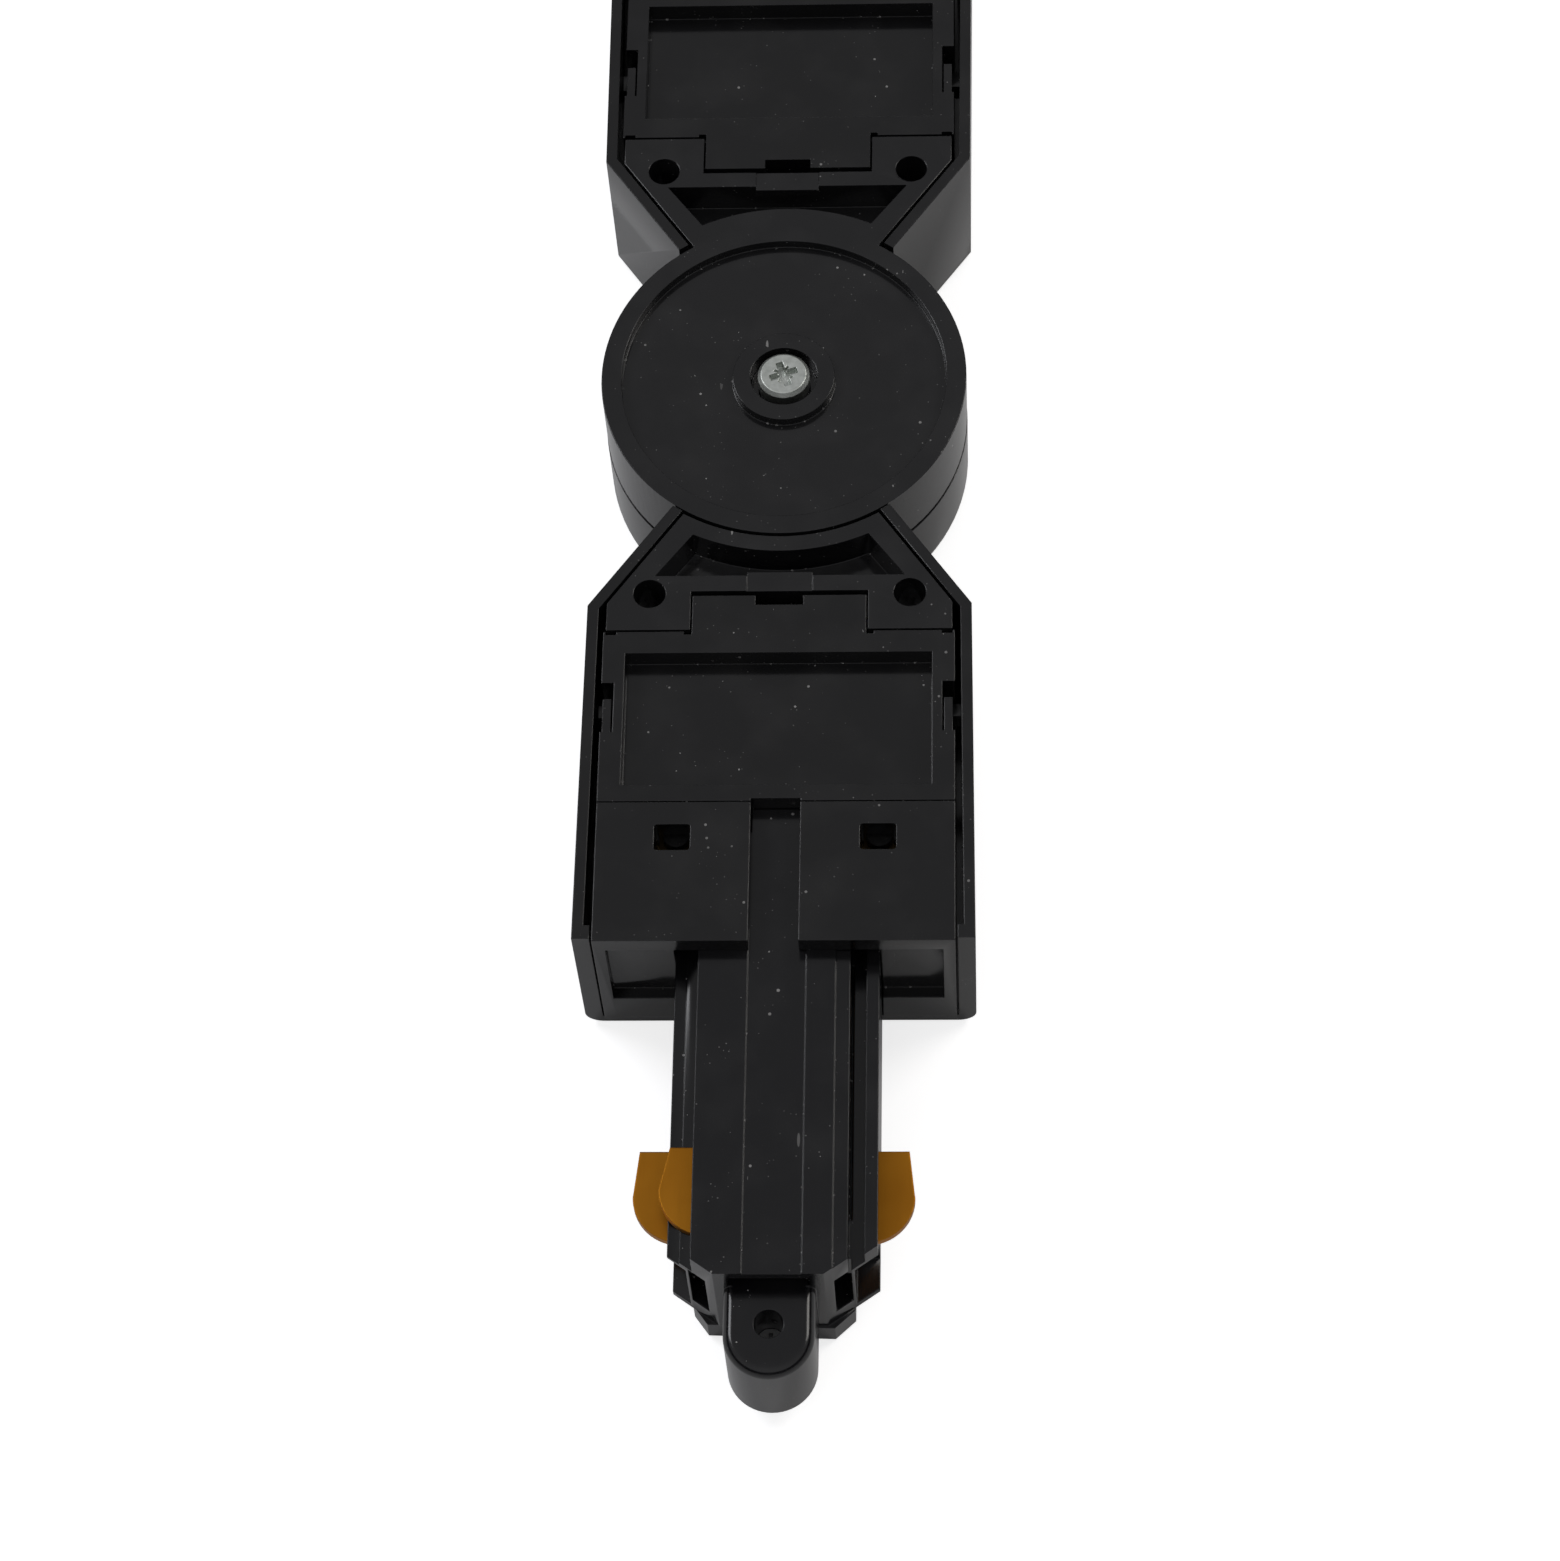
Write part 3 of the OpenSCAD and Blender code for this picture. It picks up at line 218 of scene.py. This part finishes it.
def moulded_group():
    """Node group for the skin of a moulding: a cloudy roughness from uneven polish and
    long faint flow lines along the arm, and a fine pitted height from the mould."""
    group = bpy.data.node_groups.new("moulded_skin", "ShaderNodeTree")
    face = group.interface
    face.new_socket("Base Roughness", in_out="INPUT", socket_type="NodeSocketFloat")
    face.new_socket("Cloud", in_out="INPUT", socket_type="NodeSocketFloat")
    face.new_socket("Grain Scale", in_out="INPUT", socket_type="NodeSocketFloat")
    face.new_socket("Roughness", in_out="OUTPUT", socket_type="NodeSocketFloat")
    face.new_socket("Height", in_out="OUTPUT", socket_type="NodeSocketFloat")
    nodes, links = group.nodes, group.links
    given, out = nodes.new("NodeGroupInput"), nodes.new("NodeGroupOutput")
    place = nodes.new("ShaderNodeTexCoord")
    stretch = nodes.new("ShaderNodeMapping")
    stretch.inputs["Scale"].default_value = (1.0, FLOW_STRETCH, 1.0)
    cloud = nodes.new("ShaderNodeTexNoise")
    cloud.inputs["Scale"].default_value = POLISH_CLOUDS
    cloud.inputs["Detail"].default_value = 5.0
    grain = nodes.new("ShaderNodeTexNoise")
    grain.inputs["Detail"].default_value = 3.0
    links.new(place.outputs["Object"], stretch.inputs["Vector"])
    links.new(stretch.outputs["Vector"], cloud.inputs["Vector"])
    centred = calculate(group, "SUBTRACT", cloud.outputs["Fac"], 0.5)
    rough = calculate(group, "MULTIPLY_ADD", centred, given.outputs["Cloud"],
                      given.outputs["Base Roughness"])
    links.new(rough, out.inputs["Roughness"])
    links.new(place.outputs["Object"], grain.inputs["Vector"])
    links.new(given.outputs["Grain Scale"], grain.inputs["Scale"])
    links.new(grain.outputs["Fac"], out.inputs["Height"])
    return group


def corner_group():
    """Node group for worn corners: the surface's normal, turned smoothly across every corner
    closer than the radius, so that small steps catch a thin line of light too."""
    group = bpy.data.node_groups.new("rounded_corners", "ShaderNodeTree")
    group.interface.new_socket("Radius", in_out="INPUT", socket_type="NodeSocketFloat")
    group.interface.new_socket("Normal", in_out="OUTPUT", socket_type="NodeSocketVector")
    given, out = group.nodes.new("NodeGroupInput"), group.nodes.new("NodeGroupOutput")
    corner = group.nodes.new("ShaderNodeBevel")
    corner.samples = 6
    group.links.new(given.outputs["Radius"], corner.inputs["Radius"])
    group.links.new(corner.outputs["Normal"], out.inputs["Normal"])
    return group


moulded_skin = moulded_group()
dust_specks = dust_group()
rounded_corners = corner_group()


def round_corners(tree, radius):
    """The rounded corners' normal at the radius given, in the tree of a material."""
    corners = tree.nodes.new("ShaderNodeGroup")
    corners.node_tree = rounded_corners
    corners.inputs["Radius"].default_value = radius
    return corners.outputs["Normal"]


DUST_COLOUR = (0.3, 0.295, 0.29, 1.0)
DUST_SIZE = 0.09
MOULD_PITS = 0.00002
WORN_CORNER = 0.00014


def black_moulding(name, colour, index, roughness, cloud, grain, dust):
    """Black plastic of the refractive index given: the moulded skin sets roughness and
    relief, and dust lies on it as small pale specks in its colour."""
    made = bpy.data.materials.new(name)
    made.use_nodes = True
    nodes, links = made.node_tree.nodes, made.node_tree.links
    plastic = nodes["Principled BSDF"]
    plastic.inputs["IOR"].default_value = index
    skin = nodes.new("ShaderNodeGroup")
    skin.node_tree = moulded_skin
    skin.inputs["Base Roughness"].default_value = roughness
    skin.inputs["Cloud"].default_value = cloud
    skin.inputs["Grain Scale"].default_value = grain
    specks = nodes.new("ShaderNodeGroup")
    specks.node_tree = dust_specks
    specks.inputs["Amount"].default_value = dust
    specks.inputs["Size"].default_value = DUST_SIZE
    tint = nodes.new("ShaderNodeMix")
    tint.data_type = "RGBA"
    tint.inputs["A"].default_value = (*colour, 1.0)
    tint.inputs["B"].default_value = DUST_COLOUR
    relief = nodes.new("ShaderNodeBump")
    relief.inputs["Strength"].default_value = 0.12
    relief.inputs["Distance"].default_value = MOULD_PITS
    links.new(skin.outputs["Roughness"], plastic.inputs["Roughness"])
    links.new(skin.outputs["Height"], relief.inputs["Height"])
    links.new(round_corners(made.node_tree, WORN_CORNER), relief.inputs["Normal"])
    links.new(relief.outputs["Normal"], plastic.inputs["Normal"])
    links.new(specks.outputs["Mask"], tint.inputs["Factor"])
    links.new(tint.outputs["Result"], plastic.inputs["Base Color"])
    return made


def finish_with(piece, material):
    piece.data.materials.clear()
    piece.data.materials.append(material)


cover_black = black_moulding("cover_black", (0.004, 0.004, 0.0045), index=1.5,
                             roughness=0.14, cloud=0.06, grain=5200.0, dust=0.4)
for node in ("near_cover", "far_cover"):
    cover = soft_edges(node, COVER_EDGE)
    finish_with(cover, cover_black)


# Hinge frames: black ABS plates screwed down inside the covers, which keep the hinge
# disc in place. The far one is moulded in one piece with the upper disc, whose ring has
# been turned in the mould and is shinier than the plates, though here it takes the
# plates' finish.
FRAME_EDGE = 0.00016
frame_black = black_moulding("frame_black", (0.0065, 0.0065, 0.0072), index=1.5,
                             roughness=0.13, cloud=0.05, grain=6000.0, dust=0.42)
for node in ("near_frame", "far_frame_disc"):
    plate = soft_edges(node, FRAME_EDGE)
    finish_with(plate, frame_black)


# Plug blocks: black moulded blocks, pushed into the covers from above. Each clamps the
# plug, covers the terminals and leaves openings for a screwdriver.
BLOCK_EDGE = 0.00014
block_black = black_moulding("block_black", (0.0038, 0.0038, 0.0043), index=1.5,
                             roughness=0.14, cloud=0.06, grain=4600.0, dust=0.42)
for node in ("near_block", "far_block"):
    block = soft_edges(node, BLOCK_EDGE)
    finish_with(block, block_black)


# Plugs: keyed tongues of black glass-filled plastic that slide into the track's end,
# with steps that let them in only the right way round.
PLUG_EDGE = 0.00014
plug_black = black_moulding("plug_black", (0.005, 0.005, 0.006), index=1.45,
                            roughness=0.16, cloud=0.07, grain=5000.0, dust=0.43)
for node in ("near_plug", "far_plug"):
    tongue = soft_edges(node, PLUG_EDGE)
    finish_with(tongue, plug_black)


# Contact blades: stamped from copper strip and a little bowed. They have a satin face
# with fine rolling marks along the arm, and brighter sheared edges.
BLADE_EDGE = 0.0001
SHEARED_CORNER = 0.00018
COPPER = (0.47, 0.195, 0.017, 1.0)
TARNISHED_COPPER = (0.33, 0.125, 0.01, 1.0)
ROLLING_MARKS = 2600.0


def rolled_copper():
    """Copper strip: long noise across the blade for the rolling marks, with a darker
    tarnish in soft patches."""
    made = bpy.data.materials.new("rolled_copper")
    made.use_nodes = True
    nodes, links = made.node_tree.nodes, made.node_tree.links
    metal = nodes["Principled BSDF"]
    metal.inputs["Metallic"].default_value = 1.0
    place = nodes.new("ShaderNodeTexCoord")
    stretch = nodes.new("ShaderNodeMapping")
    stretch.inputs["Scale"].default_value = (1.0, 0.04, 1.0)
    marks = nodes.new("ShaderNodeTexNoise")
    marks.inputs["Scale"].default_value = ROLLING_MARKS
    marks.inputs["Detail"].default_value = 4.0
    patches = nodes.new("ShaderNodeTexNoise")
    patches.inputs["Scale"].default_value = 190.0
    tarnish = nodes.new("ShaderNodeMix")
    tarnish.data_type = "RGBA"
    tarnish.inputs["A"].default_value = COPPER
    tarnish.inputs["B"].default_value = TARNISHED_COPPER
    gloss = nodes.new("ShaderNodeMapRange")
    gloss.inputs["To Min"].default_value = 0.32
    gloss.inputs["To Max"].default_value = 0.48
    relief = nodes.new("ShaderNodeBump")
    relief.inputs["Strength"].default_value = 0.15
    relief.inputs["Distance"].default_value = 0.00002
    links.new(place.outputs["Object"], stretch.inputs["Vector"])
    links.new(stretch.outputs["Vector"], marks.inputs["Vector"])
    links.new(place.outputs["Object"], patches.inputs["Vector"])
    links.new(patches.outputs["Fac"], tarnish.inputs["Factor"])
    links.new(tarnish.outputs["Result"], metal.inputs["Base Color"])
    links.new(marks.outputs["Fac"], gloss.inputs["Value"])
    links.new(gloss.outputs["Result"], metal.inputs["Roughness"])
    links.new(marks.outputs["Fac"], relief.inputs["Height"])
    links.new(round_corners(made.node_tree, SHEARED_CORNER), relief.inputs["Normal"])
    links.new(relief.outputs["Normal"], metal.inputs["Normal"])
    return made


copper = rolled_copper()
for arm in ("near", "far"):
    for side in ("upper", "left", "right"):
        blade = soft_edges(f"{arm}_{side}_contact", BLADE_EDGE)
        finish_with(blade, copper)


# Terminals and the pivot's insert: turned and sawn brass, hidden inside the arms and
# browned by age.
OLD_BRASS = (0.3, 0.2, 0.08, 1.0)
SAW_MARKS = 3000.0


def sawn_brass():
    """Brass with a fine grain that shifts its roughness."""
    made = bpy.data.materials.new("sawn_brass")
    made.use_nodes = True
    nodes, links = made.node_tree.nodes, made.node_tree.links
    metal = nodes["Principled BSDF"]
    metal.inputs["Metallic"].default_value = 1.0
    metal.inputs["Base Color"].default_value = OLD_BRASS
    place = nodes.new("ShaderNodeTexCoord")
    marks = nodes.new("ShaderNodeTexNoise")
    marks.inputs["Scale"].default_value = SAW_MARKS
    gloss = nodes.new("ShaderNodeMapRange")
    gloss.inputs["To Min"].default_value = 0.25
    gloss.inputs["To Max"].default_value = 0.45
    links.new(place.outputs["Object"], marks.inputs["Vector"])
    links.new(marks.outputs["Fac"], gloss.inputs["Value"])
    links.new(gloss.outputs["Result"], metal.inputs["Roughness"])
    return made


brass = sawn_brass()
for arm in ("near", "far"):
    for side in ("left", "right", "middle"):
        finish_with(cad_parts[f"{arm}_{side}_terminal"], brass)
finish_with(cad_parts["pivot_insert"], brass)


# Screws: small zinc-plated steel screws with turned heads. Those deep in the holes are given
# a darker zinc as painted shade, and the pivot screw's plating is worn grey by the driver.
SCREW_EDGE = 0.0001
PLATING_CLOUDS = 1500.0


def plated_steel(name, light, dark, smooth, rough):
    """Plated steel: cloudy grey patches, in colour, roughness and relief."""
    made = bpy.data.materials.new(name)
    made.use_nodes = True
    nodes, links = made.node_tree.nodes, made.node_tree.links
    metal = nodes["Principled BSDF"]
    metal.inputs["Metallic"].default_value = 1.0
    place = nodes.new("ShaderNodeTexCoord")
    patches = nodes.new("ShaderNodeTexNoise")
    patches.inputs["Scale"].default_value = PLATING_CLOUDS
    patches.inputs["Detail"].default_value = 6.0
    wear = nodes.new("ShaderNodeMix")
    wear.data_type = "RGBA"
    wear.inputs["A"].default_value = (*light, 1.0)
    wear.inputs["B"].default_value = (*dark, 1.0)
    gloss = nodes.new("ShaderNodeMapRange")
    gloss.inputs["To Min"].default_value = smooth
    gloss.inputs["To Max"].default_value = rough
    relief = nodes.new("ShaderNodeBump")
    relief.inputs["Strength"].default_value = 0.3
    relief.inputs["Distance"].default_value = 0.00005
    links.new(place.outputs["Object"], patches.inputs["Vector"])
    links.new(patches.outputs["Fac"], wear.inputs["Factor"])
    links.new(wear.outputs["Result"], metal.inputs["Base Color"])
    links.new(patches.outputs["Fac"], gloss.inputs["Value"])
    links.new(gloss.outputs["Result"], metal.inputs["Roughness"])
    links.new(patches.outputs["Fac"], relief.inputs["Height"])
    links.new(relief.outputs["Normal"], metal.inputs["Normal"])
    return made


zinc = plated_steel("zinc", light=(0.6, 0.6, 0.6), dark=(0.4, 0.4, 0.41),
                    smooth=0.25, rough=0.5)
# A darker copy of the zinc: painted shade for the screws that sit deep in dark holes.
shaded_zinc = plated_steel("shaded_zinc", light=(0.26, 0.26, 0.26), dark=(0.12, 0.12, 0.12),
                         smooth=0.25, rough=0.45)
worn_nickel = plated_steel("worn_nickel", light=(0.84, 0.87, 0.83),
                           dark=(0.25, 0.27, 0.25), smooth=0.28, rough=0.55)
for node in ("near_frame_screws", "far_frame_screws", "pivot_washer"):
    finish_with(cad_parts[node], zinc)
# The lug screws take the darker zinc, as painted shade for their deep holes.
for node in ("near_lug_screw", "far_lug_screw"):
    finish_with(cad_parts[node], shaded_zinc)
for node in ("near_terminal_screws", "far_terminal_screws"):
    slotted = soft_edges(node, SCREW_EDGE)
    finish_with(slotted, shaded_zinc)
pivot = soft_edges("pivot_screw", SCREW_EDGE)
finish_with(pivot, worn_nickel)


# Wires: three insulated copper wires that the covers hold all the way. They run level in
# the near arm, climb through the drum, leave under the disc and fall again in the far
# arm.
WIRE_RADIUS = 0.001
WIRE_LOW = 0.006
WIRE_HIGH = 0.0109
WIRE_CLIMB = (-0.012, 0.010)
WIRE_FALL = (0.0185, 0.030)
SIDE_WIRE_X = 0.0083
SIDE_WIRE_END = 0.0484
EARTH_WIRE_X = 0.006
EARTH_SHIFT = (0.0305, 0.0415)
EARTH_WIRE_END = 0.0438
SIDE_WIRE_LAST_RUN = 0.006
BEND_POINTS = 10
CLIMB_POINTS = 14
LEVEL_POINTS = 8
CAP_ANGLE = math.radians(50)


def double_bend(length, rise, points):
    """Two equal arcs, one turning up and one turning back, that rise over a length."""
    radius = (length ** 2 + rise ** 2) / (4 * rise)
    turn = 2 * math.atan2(rise, length)
    angle = np.linspace(0.0, turn, points)
    first = np.stack([radius * np.sin(angle), radius * (1 - np.cos(angle))], 1)
    return np.concatenate([first, np.array([length, rise]) - first[-2::-1]])


def wire_route(x, end, shift):
    """The points of a wire at x from the near terminal to the far one, joined from level
    runs and double bends. With a shift it moves across to the middle terminal."""
    climb = double_bend(WIRE_CLIMB[1] - WIRE_CLIMB[0], WIRE_HIGH - WIRE_LOW, CLIMB_POINTS)
    fall = double_bend(WIRE_FALL[1] - WIRE_FALL[0], WIRE_HIGH - WIRE_LOW, BEND_POINTS)
    if shift:
        bend = double_bend(EARTH_SHIFT[1] - EARTH_SHIFT[0], abs(x), BEND_POINTS)
        ends = np.stack([x - np.sign(x) * bend[:, 1], EARTH_SHIFT[0] + bend[:, 0],
                         np.full(len(bend), WIRE_LOW)], 1)
        ends = np.concatenate([ends, [[0.0, end, WIRE_LOW]]])
    else:
        ends = np.array([[x, end - SIDE_WIRE_LAST_RUN, WIRE_LOW], [x, end, WIRE_LOW]])
    start = ends[::-1] * np.array([1.0, -1.0, 1.0])
    up_part = np.stack([np.full(len(climb), x), WIRE_CLIMB[0] + climb[:, 0],
                        WIRE_LOW + climb[:, 1]], 1)
    down_part = np.stack([np.full(len(fall), x), WIRE_FALL[0] + fall[:, 0],
                          WIRE_HIGH - fall[:, 1]], 1)
    run = np.linspace(start[-1, 1], WIRE_CLIMB[0], LEVEL_POINTS + 2)[1:-1]
    near_level = np.stack([np.full(LEVEL_POINTS, x), run,
                           np.full(LEVEL_POINTS, WIRE_LOW)], 1)
    return np.concatenate([start, near_level, up_part, down_part, ends])


def tube(name, route, radius, sides=20):
    """A round tube: rings set square to the route, with the ends closed by caps."""
    along = np.gradient(route, axis=0)
    along /= np.linalg.norm(along, axis=1)[:, None]
    across = np.cross(along, np.array([0.0, 0.0, 1.0]))
    across /= np.linalg.norm(across, axis=1)[:, None]
    over = np.cross(across, along)
    turn = np.linspace(0.0, 2 * np.pi, sides, endpoint=False)
    rings = (route[:, None, :] + radius * (np.cos(turn)[None, :, None] * across[:, None, :]
                                           + np.sin(turn)[None, :, None] * over[:, None, :]))
    count = len(route)
    ring, step = np.meshgrid(np.arange(count - 1), np.arange(sides), indexing="ij")
    after = (step + 1) % sides
    faces = np.stack([ring * sides + step, ring * sides + after,
                      (ring + 1) * sides + after, (ring + 1) * sides + step], -1).reshape(-1, 4)
    caps = [tuple(range(sides))[::-1], tuple(range((count - 1) * sides, count * sides))]
    mesh = bpy.data.meshes.new(name)
    mesh.from_pydata(rings.reshape(-1, 3).tolist(), [], faces.tolist() + caps)
    shell = bmesh.new()
    shell.from_mesh(mesh)
    bmesh.ops.recalc_face_normals(shell, faces=shell.faces)
    shell.to_mesh(mesh)
    shell.free()
    mesh.shade_smooth()
    mesh.set_sharp_from_angle(angle=CAP_ANGLE)
    piece = bpy.data.objects.new(name, mesh)
    scene.collection.objects.link(piece)
    return piece


def insulation(name, colour):
    """Smooth PVC with a faint cloudiness in its colour."""
    made = bpy.data.materials.new(name)
    made.use_nodes = True
    nodes, links = made.node_tree.nodes, made.node_tree.links
    sleeve = nodes["Principled BSDF"]
    sleeve.inputs["Roughness"].default_value = 0.42
    place = nodes.new("ShaderNodeTexCoord")
    cloud = nodes.new("ShaderNodeTexNoise")
    cloud.inputs["Scale"].default_value = 700.0
    tint = nodes.new("ShaderNodeMix")
    tint.data_type = "RGBA"
    tint.inputs["A"].default_value = (*colour, 1.0)
    tint.inputs["B"].default_value = (*[0.7 * c for c in colour], 1.0)
    links.new(place.outputs["Object"], cloud.inputs["Vector"])
    links.new(cloud.outputs["Fac"], tint.inputs["Factor"])
    links.new(tint.outputs["Result"], sleeve.inputs["Base Color"])
    return made


wires = (("live_wire", -SIDE_WIRE_X, SIDE_WIRE_END, False, "brown_wire", (0.16, 0.07, 0.035)),
         ("neutral_wire", SIDE_WIRE_X, SIDE_WIRE_END, False, "blue_wire", (0.03, 0.1, 0.38)),
         ("earth_wire", -EARTH_WIRE_X, EARTH_WIRE_END, True, "green_wire", (0.1, 0.32, 0.06)))
for node, x, end, shift, slot, colour in wires:
    wire = tube("bent_" + node, wire_route(x, end, shift), WIRE_RADIUS)
    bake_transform(wire)
    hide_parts(node)
    finish_with(wire, insulation("sleeve_" + slot, colour))


# Stage: a white table that runs up into a low white backdrop, in a grey room whose walls
# are dark up to shoulder height, so that rounded edges show a dark line. Two soft boxes
# stand beside the object and a paler ceiling hangs over the near plug.
TABLE_RADIUS = 1.6
TABLE_RINGS = 24
CENTRE_GAP = 1e-6
BACKDROP_START = 0.66
BACKDROP_HEIGHT = 0.75
TABLE_GAP = 0.00005
CURTAIN_RADIUS = 1.35
CURTAIN_LOW = 0.07
CURTAIN_HIGH = 0.85
SEEN_GLOW = 0.72
MIRRORED_GLOW = 0.08


def white_stage():
    """White paint that takes shadows. It also glows, fully for the camera and through
    glass, and faintly in reflections."""
    made = bpy.data.materials.new("white_stage")
    made.use_nodes = True
    nodes, links = made.node_tree.nodes, made.node_tree.links
    nodes.remove(nodes["Principled BSDF"])
    paint = nodes.new("ShaderNodeBsdfDiffuse")
    paint.inputs["Color"].default_value = (0.8, 0.8, 0.8, 1.0)
    glow = nodes.new("ShaderNodeEmission")
    ray = nodes.new("ShaderNodeLightPath")
    total = nodes.new("ShaderNodeAddShader")
    seen = calculate(made.node_tree, "MAXIMUM", ray.outputs["Is Camera Ray"],
                     ray.outputs["Is Transmission Ray"])
    mirrored = calculate(made.node_tree, "MULTIPLY", ray.outputs["Is Glossy Ray"], MIRRORED_GLOW)
    strength = calculate(made.node_tree, "MULTIPLY_ADD", seen, SEEN_GLOW, mirrored)
    links.new(strength, glow.inputs["Strength"])
    links.new(paint.outputs[0], total.inputs[0])
    links.new(glow.outputs[0], total.inputs[1])
    links.new(total.outputs[0], nodes["Material Output"].inputs["Surface"])
    return made


def turned_sheet(name, radii, heights, sides=96):
    """A sheet of revolution about the hinge axis, through the radii and heights given."""
    turn = np.linspace(0.0, 2 * np.pi, sides, endpoint=False)
    radii, heights = np.asarray(radii), np.asarray(heights)
    rings = len(radii)
    points = np.stack([radii[:, None] * np.cos(turn)[None, :],
                       radii[:, None] * np.sin(turn)[None, :],
                       np.broadcast_to(heights[:, None], (rings, sides))], -1).reshape(-1, 3)
    ring, step = np.meshgrid(np.arange(rings - 1), np.arange(sides), indexing="ij")
    after = (step + 1) % sides
    faces = np.stack([ring * sides + step, (ring + 1) * sides + step,
                      (ring + 1) * sides + after, ring * sides + after], -1).reshape(-1, 4)
    mesh = bpy.data.meshes.new(name)
    mesh.from_pydata(points.tolist(), [], faces.tolist())
    shell = bmesh.new()
    shell.from_mesh(mesh)
    bmesh.ops.remove_doubles(shell, verts=shell.verts, dist=CENTRE_GAP)
    shell.to_mesh(mesh)
    shell.free()
    mesh.shade_smooth()
    piece = bpy.data.objects.new(name, mesh)
    scene.collection.objects.link(piece)
    return piece


reach = np.linspace(0.0, 1.0, TABLE_RINGS)
climb = np.clip((reach - BACKDROP_START) / (1.0 - BACKDROP_START), 0.0, 1.0)
table = turned_sheet("white_table", TABLE_RADIUS * reach,
                     BACKDROP_HEIGHT * climb ** 2 - TABLE_GAP)
finish_with(table, white_stage())


def dark_cloth():
    """Dark grey felt."""
    made = bpy.data.materials.new("dark_cloth")
    made.use_nodes = True
    felt = made.node_tree.nodes["Principled BSDF"]
    felt.inputs["Base Color"].default_value = (0.03, 0.03, 0.03, 1.0)
    felt.inputs["Roughness"].default_value = 1.0
    return made


curtain = turned_sheet("dark_curtain", [CURTAIN_RADIUS, CURTAIN_RADIUS],
                       [CURTAIN_LOW, CURTAIN_HIGH])
curtain.visible_camera = False
finish_with(curtain, dark_cloth())


def soft_box(name, place, size, power, colour):
    """A square lamp that faces the middle of the object."""
    lamp = bpy.data.objects.new(name, bpy.data.lights.new(name, "AREA"))
    lamp.data.shape = "SQUARE"
    lamp.data.size = size
    lamp.data.energy = power
    lamp.data.color = colour
    lamp.location = place
    lamp.rotation_euler = Vector(place).to_track_quat("Z", "Y").to_euler()
    scene.collection.objects.link(lamp)


soft_box("left_box", (-0.85, 0.48, 1.0), size=0.5, power=5.0, colour=(0.95, 0.96, 1.0))
soft_box("right_box", (0.85, 0.48, 1.0), size=0.5, power=4.2, colour=(1.0, 0.97, 0.93))

room = bpy.data.worlds.new("grey_room")
room.use_nodes = True
room_nodes, room_links = room.node_tree.nodes, room.node_tree.links
direction = room_nodes.new("ShaderNodeTexCoord")
parts = room_nodes.new("ShaderNodeSeparateXYZ")
ceiling = room_nodes.new("ShaderNodeMapRange")
ceiling.interpolation_type = "SMOOTHSTEP"
ceiling.inputs["From Min"].default_value = -0.7
ceiling.inputs["From Max"].default_value = 0.5
ceiling.inputs["To Min"].default_value = 0.6
ceiling.inputs["To Max"].default_value = 0.37
room_links.new(direction.outputs["Generated"], parts.inputs[0])
room_links.new(parts.outputs["Y"], ceiling.inputs["Value"])
room_links.new(ceiling.outputs["Result"], room_nodes["Background"].inputs["Strength"])
room_nodes["Background"].inputs["Color"].default_value = (1.0, 1.0, 1.02, 1.0)
scene.world = room
scene.view_settings.view_transform = "Standard"
